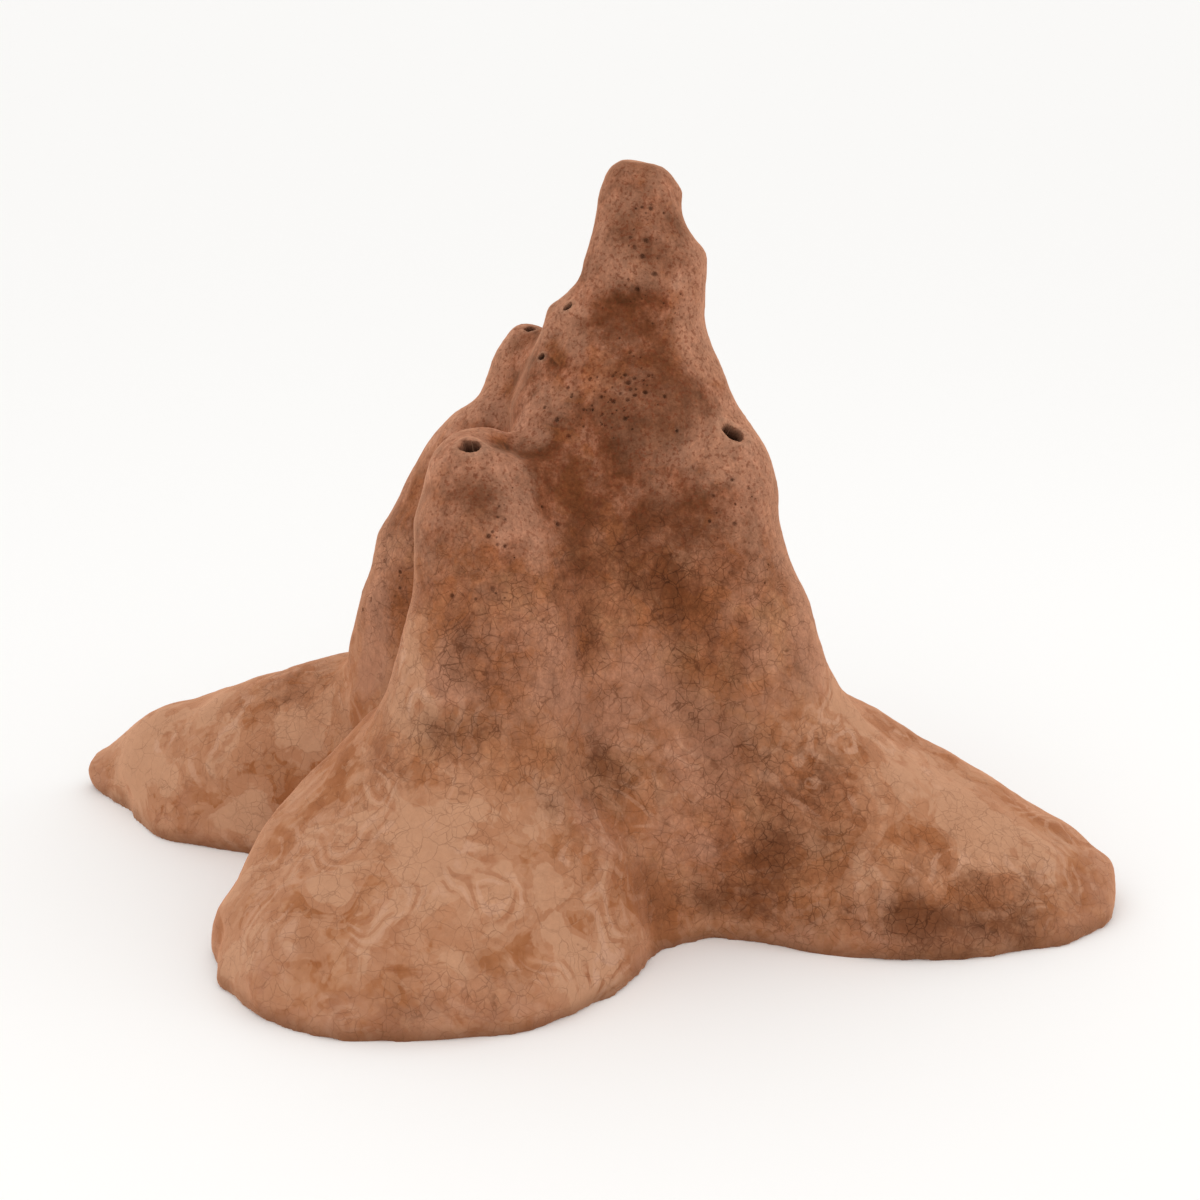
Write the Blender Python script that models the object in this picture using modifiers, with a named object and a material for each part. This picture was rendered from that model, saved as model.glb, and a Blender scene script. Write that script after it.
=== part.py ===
"""A termite mound of cemented red-brown earth, two metres tall, cut off flat at the ground.

The mound is one grown piece: a spire, the columns that lean against it, and legs that spread over the
ground. Each form is lofted through a few oval rings. The forms are fused into one skin, smoothed where
they meet, made lumpy, thinned to few faces, cut flat at the ground and pierced by the vents.

The tables below measure from the foot of the spire: +X to the right, +Y to the back, +Z up, in metres.
The finished mound stands with the middle of its base on the origin.
"""

import math
from collections import namedtuple

import bmesh
import bpy
from mathutils import Matrix, Vector

MOUND_HEIGHT = 2.00
SUNK_FOOT = -0.15  # the forms start below the ground, so that the cut leaves a whole base

RING_SIDES = 32
RIB_MIDDLE = 0.10  # a rib is widest this share of its crest above the ground, where it tucks under

SKIN_VOXEL = 0.022
SKIN_TURNS = 2  # the second turn clears the seams that overlapping forms leave in the first
BLEND_PASSES = 20

LUMP_SPACING = 0.30
LUMP_DEPTH = 0.030
KEPT_SHARE = 0.14  # of the skin's triangles

VENT_SIDES = 14
VENT_TAPER = 0.7

EARTH_COLOUR = (0.40, 0.17, 0.09, 1.0)
EARTH_ROUGHNESS = 0.95

# A column is a stack of level ovals: where the middle is, and half the width and depth.
Ring = namedtuple("Ring", "x y z wide deep")
# A leg is a row of upright ovals across its heading: where it stands, half its width, and its crest.
Rib = namedtuple("Rib", "x y half_width crest")
# A vent is a tunnel from its mouth: half its width and height, its depth, the way that it faces (round
# from the front towards +X, then up from level), and how far its oval is rolled.
Vent = namedtuple("Vent", "x y z wide high depth round_deg up_deg roll_deg")

COLUMNS = {
    "spire": [
        Ring(0.04, 0.02, SUNK_FOOT, 0.60, 0.62),
        Ring(0.04, 0.03, 0.15, 0.54, 0.54),
        Ring(0.02, 0.04, 0.40, 0.45, 0.45),
        Ring(0.00, 0.03, 0.65, 0.36, 0.38),
        Ring(-0.02, 0.00, 0.90, 0.29, 0.33),
        Ring(-0.03, -0.01, 1.10, 0.27, 0.30),
        Ring(-0.04, -0.03, 1.24, 0.285, 0.30),
        Ring(-0.04, -0.03, 1.36, 0.30, 0.29),
        Ring(-0.015, 0.00, 1.465, 0.262, 0.24),
        Ring(0.00, 0.00, 1.57, 0.205, 0.185),
        Ring(0.014, 0.00, 1.68, 0.182, 0.17),
        Ring(0.020, 0.00, 1.745, 0.174, 0.16),
        Ring(0.002, 0.01, 1.84, 0.130, 0.13),
        Ring(-0.002, 0.02, 1.94, 0.107, 0.11),
        Ring(-0.005, 0.02, 2.010, 0.084, 0.085),
    ],
    "spire_hump": [
        Ring(-0.10, -0.02, 1.25, 0.20, 0.20),
        Ring(-0.14, -0.02, 1.42, 0.17, 0.16),
        Ring(-0.155, -0.02, 1.53, 0.115, 0.12),
        Ring(-0.168, -0.03, 1.60, 0.100, 0.09),
        Ring(-0.150, -0.03, 1.66, 0.065, 0.065),
    ],
    "centre_ridge": [
        Ring(0.02, -0.25, SUNK_FOOT, 0.44, 0.36),
        Ring(-0.02, -0.25, 0.35, 0.34, 0.30),
        Ring(-0.06, -0.22, 0.62, 0.25, 0.23),
        Ring(-0.07, -0.17, 0.90, 0.19, 0.20),
        Ring(-0.06, -0.12, 1.18, 0.15, 0.18),
    ],
    "rear": [
        Ring(0.10, 0.38, SUNK_FOOT, 0.42, 0.42),
        Ring(0.10, 0.34, 0.40, 0.34, 0.34),
        Ring(0.08, 0.30, 0.75, 0.26, 0.26),
        Ring(0.06, 0.26, 1.00, 0.20, 0.20),
        Ring(0.05, 0.24, 1.15, 0.15, 0.15),
        Ring(0.05, 0.23, 1.25, 0.09, 0.09),
    ],
    "back_left": [
        Ring(-0.40, 0.14, SUNK_FOOT, 0.46, 0.50),
        Ring(-0.38, 0.14, 0.60, 0.36, 0.38),
        Ring(-0.36, 0.12, 1.00, 0.26, 0.26),
        Ring(-0.35, 0.12, 1.20, 0.18, 0.18),
        Ring(-0.32, 0.15, 1.35, 0.123, 0.12),
        Ring(-0.305, 0.15, 1.48, 0.088, 0.09),
        Ring(-0.30, 0.15, 1.545, 0.05, 0.05),
    ],
    "low_left": [
        Ring(-0.64, 0.10, SUNK_FOOT, 0.36, 0.34),
        Ring(-0.59, 0.10, 0.40, 0.28, 0.27),
        Ring(-0.55, 0.10, 0.75, 0.235, 0.23),
        Ring(-0.51, 0.10, 0.97, 0.20, 0.20),
        Ring(-0.480, 0.12, 1.10, 0.173, 0.17),
        Ring(-0.438, 0.12, 1.24, 0.130, 0.13),
        Ring(-0.425, 0.12, 1.32, 0.085, 0.085),
    ],
    "front_left": [
        Ring(-0.50, -0.50, SUNK_FOOT, 0.50, 0.40),
        Ring(-0.49, -0.49, 0.20, 0.42, 0.34),
        Ring(-0.45, -0.46, 0.42, 0.33, 0.29),
        Ring(-0.405, -0.41, 0.60, 0.275, 0.25),
        Ring(-0.385, -0.38, 0.78, 0.24, 0.23),
        Ring(-0.385, -0.35, 0.96, 0.215, 0.21),
        Ring(-0.395, -0.31, 1.12, 0.18, 0.185),
        Ring(-0.415, -0.28, 1.24, 0.138, 0.145),
        Ring(-0.43, -0.265, 1.325, 0.085, 0.080),
    ],
    "front_left_shoulder": [
        Ring(-0.34, -0.30, 0.40, 0.26, 0.25),
        Ring(-0.31, -0.29, 0.75, 0.21, 0.22),
        Ring(-0.305, -0.28, 1.00, 0.165, 0.185),
        Ring(-0.305, -0.26, 1.15, 0.125, 0.15),
        Ring(-0.31, -0.25, 1.25, 0.085, 0.09),
    ],
    "right": [
        Ring(0.44, -0.20, SUNK_FOOT, 0.46, 0.46),
        Ring(0.40, -0.20, 0.25, 0.34, 0.37),
        Ring(0.345, -0.19, 0.50, 0.25, 0.29),
        Ring(0.295, -0.18, 0.70, 0.220, 0.24),
        Ring(0.250, -0.16, 0.86, 0.205, 0.22),
        Ring(0.215, -0.14, 1.00, 0.185, 0.20),
        Ring(0.200, -0.12, 1.16, 0.178, 0.19),
        Ring(0.207, -0.10, 1.26, 0.134, 0.14),
        Ring(0.21, -0.10, 1.34, 0.085, 0.085),
    ],
}

LEGS = {
    "right_leg": [
        Rib(0.15, -0.10, 0.40, 0.66),
        Rib(0.50, -0.15, 0.415, 0.59),
        Rib(0.65, -0.18, 0.445, 0.52),
        Rib(0.85, -0.22, 0.46, 0.352),
        Rib(1.05, -0.27, 0.39, 0.238),
        Rib(1.21, -0.31, 0.26, 0.202),
        Rib(1.315, -0.34, 0.14, 0.150),
    ],
    "left_leg": [
        Rib(-0.40, 0.15, 0.42, 0.67),
        Rib(-0.82, 0.26, 0.34, 0.54),
        Rib(-1.06, 0.33, 0.33, 0.45),
        Rib(-1.26, 0.38, 0.31, 0.375),
        Rib(-1.44, 0.44, 0.23, 0.300),
        Rib(-1.58, 0.49, 0.105, 0.205),
        Rib(-1.72, 0.53, 0.045, 0.12),
    ],
    "front_leg": [
        Rib(-0.34, -0.20, 0.46, 0.64),
        Rib(-0.48, -0.50, 0.53, 0.54),
        Rib(-0.57, -0.70, 0.50, 0.43),
        Rib(-0.60, -0.86, 0.47, 0.32),
        Rib(-0.61, -0.98, 0.39, 0.22),
        Rib(-0.615, -1.055, 0.27, 0.12),
    ],
    "front_leg_toe": [
        Rib(-0.48, -0.28, 0.34, 0.66),
        Rib(-0.72, -0.42, 0.33, 0.54),
        Rib(-0.88, -0.53, 0.26, 0.39),
        Rib(-1.00, -0.62, 0.175, 0.24),
        Rib(-1.09, -0.67, 0.09, 0.13),
    ],
    "front_apron": [
        Rib(0.05, 0.00, 0.46, 0.66),
        Rib(0.08, -0.28, 0.42, 0.43),
        Rib(0.09, -0.45, 0.34, 0.19),
    ],
    "rear_leg": [
        Rib(0.05, 0.20, 0.52, 0.85),
        Rib(0.15, 0.55, 0.46, 0.52),
        Rib(0.25, 0.85, 0.38, 0.34),
        Rib(0.30, 1.05, 0.24, 0.20),
        Rib(0.32, 1.14, 0.12, 0.10),
    ],
}

VENTS = {
    "front_left_vent": Vent(-0.433, -0.347, 1.313, 0.030, 0.024, 0.22, -8, 56, 0),
    "right_vent": Vent(0.251, -0.20, 1.31, 0.036, 0.021, 0.18, 25, 45, -35),
    "hump_vent": Vent(-0.184, -0.091, 1.624, 0.016, 0.010, 0.12, -35, 45, 35),
    "back_left_vent": Vent(-0.293, 0.118, 1.525, 0.017, 0.013, 0.14, -15, 62, 0),
    "notch_vent": Vent(-0.254, -0.110, 1.494, 0.012, 0.010, 0.10, -42, 35, 0),
    "rear_vent": Vent(0.05, 0.26, 1.20, 0.026, 0.022, 0.18, 175, 60, 0),
    "rear_low_vent": Vent(-0.36, 0.30, 1.02, 0.018, 0.016, 0.14, 200, 35, 0),
}


def column_ring(ring):
    """The matrix that lays a unit circle in a column's level oval."""
    return Matrix.Translation((ring.x, ring.y, ring.z)) @ Matrix.Diagonal((ring.wide, ring.deep, 1, 1))


def leg_ring(rib, heading):
    """The matrix that stands a unit circle across a leg, with its top at the rib's crest."""
    middle = RIB_MIDDLE * rib.crest
    along = Vector((heading.x, heading.y, 0)).normalized()
    across = Vector((-along.y, along.x, 0))
    turn = Matrix((across, Vector((0, 0, 1)), along)).transposed().to_4x4()
    size = Matrix.Diagonal((rib.half_width, rib.crest - middle, 1, 1))
    return Matrix.Translation((rib.x, rib.y, middle)) @ turn @ size


def headings(ribs):
    """The direction of the leg at each rib, from its neighbours."""
    places = [Vector((rib.x, rib.y)) for rib in ribs]
    return [b - a for a, b in zip([places[0]] + places[:-1], places[1:] + [places[-1]])]


def add_loft(bm, placements):
    """Adds a closed tube through unit circles placed by the matrices."""
    loops = []
    for placement in placements:
        circle = bmesh.ops.create_circle(bm, segments=RING_SIDES, radius=1.0, matrix=placement)
        corners = set(circle["verts"])
        loops.append([e for e in bm.edges if set(e.verts) <= corners])
    for near, far in zip(loops, loops[1:]):
        bmesh.ops.bridge_loops(bm, edges=near + far)
    bmesh.ops.holes_fill(bm, edges=loops[0] + loops[-1])


def forms_mesh():
    """All the columns and legs, still as separate tubes that run through each other."""
    bm = bmesh.new()
    for rings in COLUMNS.values():
        add_loft(bm, [column_ring(ring) for ring in rings])
    for ribs in LEGS.values():
        add_loft(bm, [leg_ring(rib, way) for rib, way in zip(ribs, headings(ribs))])
    bmesh.ops.recalc_face_normals(bm, faces=bm.faces)
    mesh = bpy.data.meshes.new("termite_mound")
    bm.to_mesh(mesh)
    bm.free()
    return mesh


def earth_material():
    material = bpy.data.materials.new("cemented_earth")
    material.use_nodes = True
    shader = material.node_tree.nodes["Principled BSDF"]
    shader.inputs["Base Color"].default_value = EARTH_COLOUR
    shader.inputs["Roughness"].default_value = EARTH_ROUGHNESS
    shader.inputs["Metallic"].default_value = 0.0
    return material


def grow_skin(mound):
    """Fuses the forms into one lumpy skin of few faces."""
    for turn in range(SKIN_TURNS):
        fuse = mound.modifiers.new("fuse", "REMESH")
        fuse.mode = "VOXEL"
        fuse.voxel_size = SKIN_VOXEL
        blend = mound.modifiers.new("blend", "SMOOTH")
        blend.factor = 0.5
        blend.iterations = BLEND_PASSES
    clouds = bpy.data.textures.new("lumps", "CLOUDS")
    clouds.noise_scale = LUMP_SPACING
    clouds.noise_depth = 1
    lumps = mound.modifiers.new("lumps", "DISPLACE")
    lumps.texture = clouds
    lumps.texture_coords = "LOCAL"
    lumps.strength = 2 * LUMP_DEPTH
    lumps.mid_level = 0.5
    thin = mound.modifiers.new("thin_out", "DECIMATE")
    thin.ratio = KEPT_SHARE


def add_cutter(name, mesh_maker, cutters):
    """An unrendered object that only cuts, with the mesh that the maker builds."""
    bm = bmesh.new()
    mesh_maker(bm)
    mesh = bpy.data.meshes.new(name)
    bm.to_mesh(mesh)
    bm.free()
    cutter = bpy.data.objects.new(name, mesh)
    cutter.hide_render = True
    cutter.display_type = "WIRE"
    cutters.objects.link(cutter)
    return cutter


def ground_block(bm):
    """A cube with its top at the ground, wider and deeper than the mound."""
    bmesh.ops.create_cube(bm, size=1.0)
    side = 3 * MOUND_HEIGHT
    bmesh.ops.scale(bm, verts=bm.verts, vec=(side, side, MOUND_HEIGHT))
    bmesh.ops.translate(bm, verts=bm.verts, vec=(0, 0, -MOUND_HEIGHT / 2))


def vent_tunnel(vent):
    """Returns a maker of a vent's tunnel: an oval cone, half outside the mouth, narrower inside."""
    turn_round = Matrix.Rotation(math.radians(vent.round_deg), 4, "Z")
    tip_up = Matrix.Rotation(math.radians(90 - vent.up_deg), 4, "X")
    roll = Matrix.Rotation(math.radians(vent.roll_deg), 4, "Z")
    place = Matrix.Translation((vent.x, vent.y, vent.z)) @ turn_round @ tip_up @ roll

    def make(bm):
        bmesh.ops.create_cone(bm, cap_ends=True, segments=VENT_SIDES, radius1=VENT_TAPER, radius2=1.0,
                              depth=2.0)
        bmesh.ops.scale(bm, verts=bm.verts, vec=(vent.wide, vent.high, vent.depth))
        bmesh.ops.transform(bm, verts=bm.verts, matrix=place)

    return make


def cut(mound, cutter):
    step = mound.modifiers.new(cutter.name, "BOOLEAN")
    step.operation = "DIFFERENCE"
    step.object = cutter


def stand_on_origin(mound, everything):
    """Scales to the stated height and puts the middle of the base on the origin."""
    bpy.context.view_layer.update()
    shape = mound.evaluated_get(bpy.context.evaluated_depsgraph_get())
    corners = [Vector(corner) for corner in shape.bound_box]
    low = Vector([min(corner[axis] for corner in corners) for axis in range(3)])
    high = Vector([max(corner[axis] for corner in corners) for axis in range(3)])
    size = MOUND_HEIGHT / (high.z - low.z)
    middle = (low + high) / 2
    everything.scale = (size, size, size)
    everything.location = (-size * middle.x, -size * middle.y, -size * low.z)


def new_collection(name):
    collection = bpy.data.collections.new(name)
    bpy.context.scene.collection.children.link(collection)
    return collection


def build():
    for obj in list(bpy.data.objects):
        bpy.data.objects.remove(obj)
    parts = new_collection("termite_mound")
    cutters = new_collection("cutters")
    mound = bpy.data.objects.new("termite_mound", forms_mesh())
    mound.data.materials.append(earth_material())
    parts.objects.link(mound)
    grow_skin(mound)
    cut(mound, add_cutter("ground_block", ground_block, cutters))
    for name, vent in VENTS.items():
        cut(mound, add_cutter(name, vent_tunnel(vent), cutters))
    everything = bpy.data.objects.new("base_centre", None)
    parts.objects.link(everything)
    for obj in list(parts.objects) + list(cutters.objects):
        if obj is not everything:
            obj.parent = everything
    stand_on_origin(mound, everything)


build()
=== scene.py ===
# %% [markdown]
# # A termite mound, from a plain solid to weathered earth
#
# A termite mound is soil that the colony has wetted, stacked and cemented grain by grain. Rain then runs
# over it for years, so it is smooth at arm's length and busy from close up: worn lumps, vents, clusters
# of pits, hairline cracks, dark runs in the hollows and pale dust on the slopes.
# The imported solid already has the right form, with few faces. This lesson turns it into a fine skin,
# works the small shapes into that skin, and paints it with one procedural material.

# %% Load the frame
import math
import random
from collections import namedtuple

import bmesh
import bpy
import numpy as np
from mathutils import Matrix, Vector, kdtree, noise
from mathutils.bvhtree import BVHTree


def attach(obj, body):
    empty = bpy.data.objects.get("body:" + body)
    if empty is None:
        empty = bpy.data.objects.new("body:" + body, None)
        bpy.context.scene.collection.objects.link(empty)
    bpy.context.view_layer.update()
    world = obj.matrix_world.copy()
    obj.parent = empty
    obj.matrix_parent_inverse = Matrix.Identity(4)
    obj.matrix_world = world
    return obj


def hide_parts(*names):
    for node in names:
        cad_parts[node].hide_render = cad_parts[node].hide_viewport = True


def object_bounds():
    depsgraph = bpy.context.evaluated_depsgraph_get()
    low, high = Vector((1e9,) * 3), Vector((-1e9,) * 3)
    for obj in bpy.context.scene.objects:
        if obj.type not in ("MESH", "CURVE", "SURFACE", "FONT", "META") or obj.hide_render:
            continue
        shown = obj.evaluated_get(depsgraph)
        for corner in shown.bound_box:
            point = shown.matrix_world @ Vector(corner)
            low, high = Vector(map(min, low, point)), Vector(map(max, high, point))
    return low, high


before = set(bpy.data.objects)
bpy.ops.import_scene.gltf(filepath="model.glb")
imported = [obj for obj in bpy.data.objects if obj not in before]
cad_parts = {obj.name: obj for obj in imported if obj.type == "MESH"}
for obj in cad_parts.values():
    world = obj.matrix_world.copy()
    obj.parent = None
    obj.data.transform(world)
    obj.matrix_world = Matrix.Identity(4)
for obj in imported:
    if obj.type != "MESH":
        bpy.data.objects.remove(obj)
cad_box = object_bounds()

MM = 0.001
cad_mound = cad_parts["termite_mound"]
box_sides = [round(side, 3) for side in cad_box[1] - cad_box[0]]
print("solid:", len(cad_mound.data.polygons), "triangles, box", box_sides)

# %% [markdown]
# ## The camera and the light
#
# The mound is seen from a little above its own height, with a 60 mm lens, so the camera is placed first
# and every later step can be judged through it. The light is what a photographer would use for a plain
# record shot: a bright, even surround, one wide soft light high on the left that gives the columns their
# shape without a hard shadow, and a weaker one on the right that keeps the far edges from going dull.

# %% Camera
LENS_MM = 60
SENSOR_MM = 36
CAMERA_PLACE = Vector((0.090, -5.388, 2.5185))
CAMERA_TIPPED_DOWN = math.radians(18)

camera = bpy.data.objects.new("camera", bpy.data.cameras.new("camera"))
camera.data.lens = LENS_MM
camera.data.sensor_width = SENSOR_MM
camera.location = CAMERA_PLACE
camera.rotation_euler = (math.radians(90) - CAMERA_TIPPED_DOWN, 0, 0)
bpy.context.scene.collection.objects.link(camera)
bpy.context.scene.camera = camera
print("camera stands", round(CAMERA_PLACE.length, 2), "m from the middle of the base")

# %% Light and surround
SURROUND_STRENGTH = 1.0
SOFTBOX_SIZE = 4.0
AIMED_AT = Vector((0, 0, 0.8))
SOFTBOXES = [
    ("main_softbox", 31, Vector((-2.6, -3.5, 5.5))),
    ("fill_softbox", 26, Vector((5.2, -0.9, 3.6))),
]

surround = bpy.data.worlds.new("white_surround")
surround.use_nodes = True
surround.node_tree.nodes["Background"].inputs["Color"].default_value = (1, 1, 1, 1)
surround.node_tree.nodes["Background"].inputs["Strength"].default_value = SURROUND_STRENGTH
bpy.context.scene.world = surround
bpy.context.scene.view_settings.view_transform = "Standard"

for name, watts, place in SOFTBOXES:
    softbox = bpy.data.objects.new(name, bpy.data.lights.new(name, "AREA"))
    softbox.data.size = SOFTBOX_SIZE
    softbox.data.energy = watts
    softbox.location = place
    softbox.rotation_euler = (AIMED_AT - place).to_track_quat("-Z", "Y").to_euler()
    bpy.context.scene.collection.objects.link(softbox)
    print(name, SOFTBOX_SIZE, "m wide,", watts, "W")

# %% [markdown]
# ## Helpers for colour and nodes
#
# Colours are written as the hex codes that a paint chart or a screen shows. Blender's shaders want
# linear light, so one function converts them. A second small function adds a node with its settings and
# links, which keeps the material below readable as a recipe.

# %% Colour and node helpers
def earth_colour(hex_code):
    """Turns an sRGB hex code such as "B07D5C" into linear RGBA."""
    channels = [int(hex_code[i:i + 2], 16) / 255 for i in (0, 2, 4)]
    linear = [c / 12.92 if c <= 0.04045 else ((c + 0.055) / 1.055) ** 2.4 for c in channels]
    return (*linear, 1.0)


def add_node(tree, kind, settings, inputs):
    """Adds a shader node of a kind such as "Math", with its settings, which are its properties.

    Each input, by name or number, is a value, a socket to link, or a node, whose first output is linked.
    """
    node = tree.nodes.new("ShaderNode" + kind)
    for name, value in settings.items():
        setattr(node, name, value)
    for name, value in inputs.items():
        if isinstance(value, bpy.types.Node):
            value = value.outputs[0]
        if isinstance(value, bpy.types.NodeSocket):
            tree.links.new(value, node.inputs[name])
        else:
            node.inputs[name].default_value = value
    return node


print("tan earth in linear light:", [round(c, 3) for c in earth_colour("B07D5C")])

# %% [markdown]
# ## The vents
#
# Each column ends in an open shaft that lets the nest breathe. In the solid they are plain tapered
# holes. A fine skin could keep those, but their edges would stay polygons, so the old holes are filled
# first and rough tunnels are cut again later, in the same places. The table gives each mouth's middle,
# half its width and height, how deep it goes, the way that it faces (round from the front towards +X,
# then up from level) and how far its oval is rolled.

# %% Vent table
Vent = namedtuple("Vent", "x y z wide high deep round_deg up_deg roll_deg")

VENTS = [
    Vent(-0.2427, -0.3879, 1.3122, 0.030, 0.024, 0.22, -8, 56, 0),
    Vent(0.4408, -0.2410, 1.3092, 0.036, 0.021, 0.18, 25, 45, -35),
    Vent(0.0061, -0.1320, 1.6230, 0.016, 0.010, 0.12, -35, 45, 35),
    Vent(-0.1028, 0.0768, 1.5241, 0.017, 0.013, 0.14, -15, 62, 0),
    Vent(-0.0638, -0.1510, 1.4931, 0.012, 0.010, 0.10, -42, 35, 0),
    Vent(0.2400, 0.2187, 1.1993, 0.026, 0.022, 0.18, 175, 60, 0),
    Vent(-0.1698, 0.2587, 1.0194, 0.018, 0.016, 0.14, 200, 35, 0),
]


def vent_frame(vent):
    """The matrix from a vent's own axes (Z outwards along the tunnel) to the mound's."""
    turn_round = Matrix.Rotation(math.radians(vent.round_deg), 4, "Z")
    tip_up = Matrix.Rotation(math.radians(90 - vent.up_deg), 4, "X")
    roll = Matrix.Rotation(math.radians(vent.roll_deg), 4, "Z")
    return Matrix.Translation((vent.x, vent.y, vent.z)) @ turn_round @ tip_up @ roll


def share_of_mouth(vent, into_vent, point):
    """How far a point is from the tunnel's axis, where 1 is the mouth's edge, and how far along it."""
    local = into_vent @ point
    return math.hypot(local.x / vent.wide, local.y / vent.high), local.z


VENT_FRAMES = [(vent, vent_frame(vent).inverted()) for vent in VENTS]
print(len(VENTS), "vents, the widest", round(2 * max(vent.wide for vent in VENTS) / MM), "mm")

# %% [markdown]
# ## One even skin
#
# The solid's triangles are long and short, because it was thinned out to save faces. Subdividing them
# would keep that unevenness as creases. A voxel remesh replaces them with small squares of one size
# instead, which take lumps and pits equally well everywhere. Its size is the price: 15 mm over the
# mound and its base is about 75,000 squares.

# %% Copy the solid and fill its old vents
MERGE_DISTANCE = 0.01 * MM
TUNNEL_MARGIN = 1.03
TUNNEL_OVERRUN = 1.1

bm = bmesh.new()
bm.from_mesh(cad_mound.data)
bmesh.ops.remove_doubles(bm, verts=bm.verts, dist=MERGE_DISTANCE)


def is_tunnel_face(face):
    centre = face.calc_center_median()
    for vent, into_vent in VENT_FRAMES:
        share, along = share_of_mouth(vent, into_vent, centre)
        if share < TUNNEL_MARGIN and abs(along) < TUNNEL_OVERRUN * vent.deep:
            return True
    return False


tunnel_faces = [face for face in bm.faces if is_tunnel_face(face)]
bmesh.ops.delete(bm, geom=tunnel_faces, context="FACES")
mouth_edges = [edge for edge in bm.edges if edge.is_boundary]
filled = bmesh.ops.holes_fill(bm, edges=mouth_edges, sides=0)
print("filled", len(filled["faces"]), "mouths after removing", len(tunnel_faces), "tunnel faces")

skin = bpy.data.objects.new("weathered_earth", bpy.data.meshes.new("weathered_earth"))
bm.to_mesh(skin.data)
bm.free()
bpy.context.scene.collection.objects.link(skin)

# %% Remesh it into small squares
SKIN_VOXEL = 15 * MM

remesh = skin.modifiers.new("even_squares", "REMESH")
remesh.mode = "VOXEL"
remesh.voxel_size = SKIN_VOXEL
remeshed = bpy.data.meshes.new_from_object(skin.evaluated_get(bpy.context.evaluated_depsgraph_get()))
skin.modifiers.clear()
skin.data = remeshed
print("skin:", len(skin.data.polygons), "squares, with those of the base")

# %% [markdown]
# ## Wear the facets away
#
# Rain has worn the real mound smooth. Plain smoothing would also wear the spire thin, because it pulls
# every bump inwards. The cure is old and simple: after each smoothing step comes a slightly stronger
# step backwards, which puts the large forms back and leaves only the small facets gone.

# %% Read a mesh as arrays
def mesh_points(mesh):
    points = np.empty(len(mesh.vertices) * 3, np.float32)
    mesh.vertices.foreach_get("co", points)
    return points.reshape(-1, 3).astype(float)


def mesh_normals(mesh):
    normals = np.empty(len(mesh.vertices) * 3, np.float32)
    mesh.vertex_normals.foreach_get("vector", normals)
    return normals.reshape(-1, 3).astype(float)


def mesh_edges(mesh):
    edges = np.empty(len(mesh.edges) * 2, np.int32)
    mesh.edges.foreach_get("vertices", edges)
    return edges.reshape(-1, 2)


def neighbour_mean(values, edges):
    """The mean of each vertex's neighbours, for values with one row per vertex."""
    starts = np.concatenate([edges[:, 0], edges[:, 1]])
    ends = np.concatenate([edges[:, 1], edges[:, 0]])
    counts = np.bincount(starts, minlength=len(values))
    sums = [np.bincount(starts, weights=column[ends], minlength=len(values)) for column in values.T]
    return np.stack(sums, axis=1) / counts[:, None]


print("skin:", len(mesh_points(skin.data)), "points,", len(mesh_edges(skin.data)), "edges")

# %% Smoothing that keeps the volume
SMOOTH_STEP = 0.5
RESTORE_STEP = -0.53
WEAR_ROUNDS = 22

skin_edges = mesh_edges(skin.data)
fresh = mesh_points(skin.data)
worn = fresh
for turn in range(WEAR_ROUNDS):
    for step in (SMOOTH_STEP, RESTORE_STEP):
        worn = worn + step * (neighbour_mean(worn, skin_edges) - worn)
worn[:, 2] = np.maximum(worn[:, 2], 0.0)
skin.data.vertices.foreach_set("co", worn.astype(np.float32).ravel())
skin.data.update()
print("the facets moved by", round(float(np.abs(worn - fresh).max()) / MM, 1), "mm at most")

# %% [markdown]
# ## Push the corners out and the dents in
#
# Smoothing rounds everything alike, but a real mound has corners: shoulders where a column was begun
# again, and toes where soil slid and dried. A sculptor would pull these with a soft brush. Each push below
# is one such stroke: where it lands, how wide the brush is, and how many millimetres it moves the skin to
# the right, to the back and up. A stroke fades out with distance, so the skin stays smooth, and strokes at
# the ground stay level.

# %% Soft pushes
Push = namedtuple("Push", "place x y z reach right back up")

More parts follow.
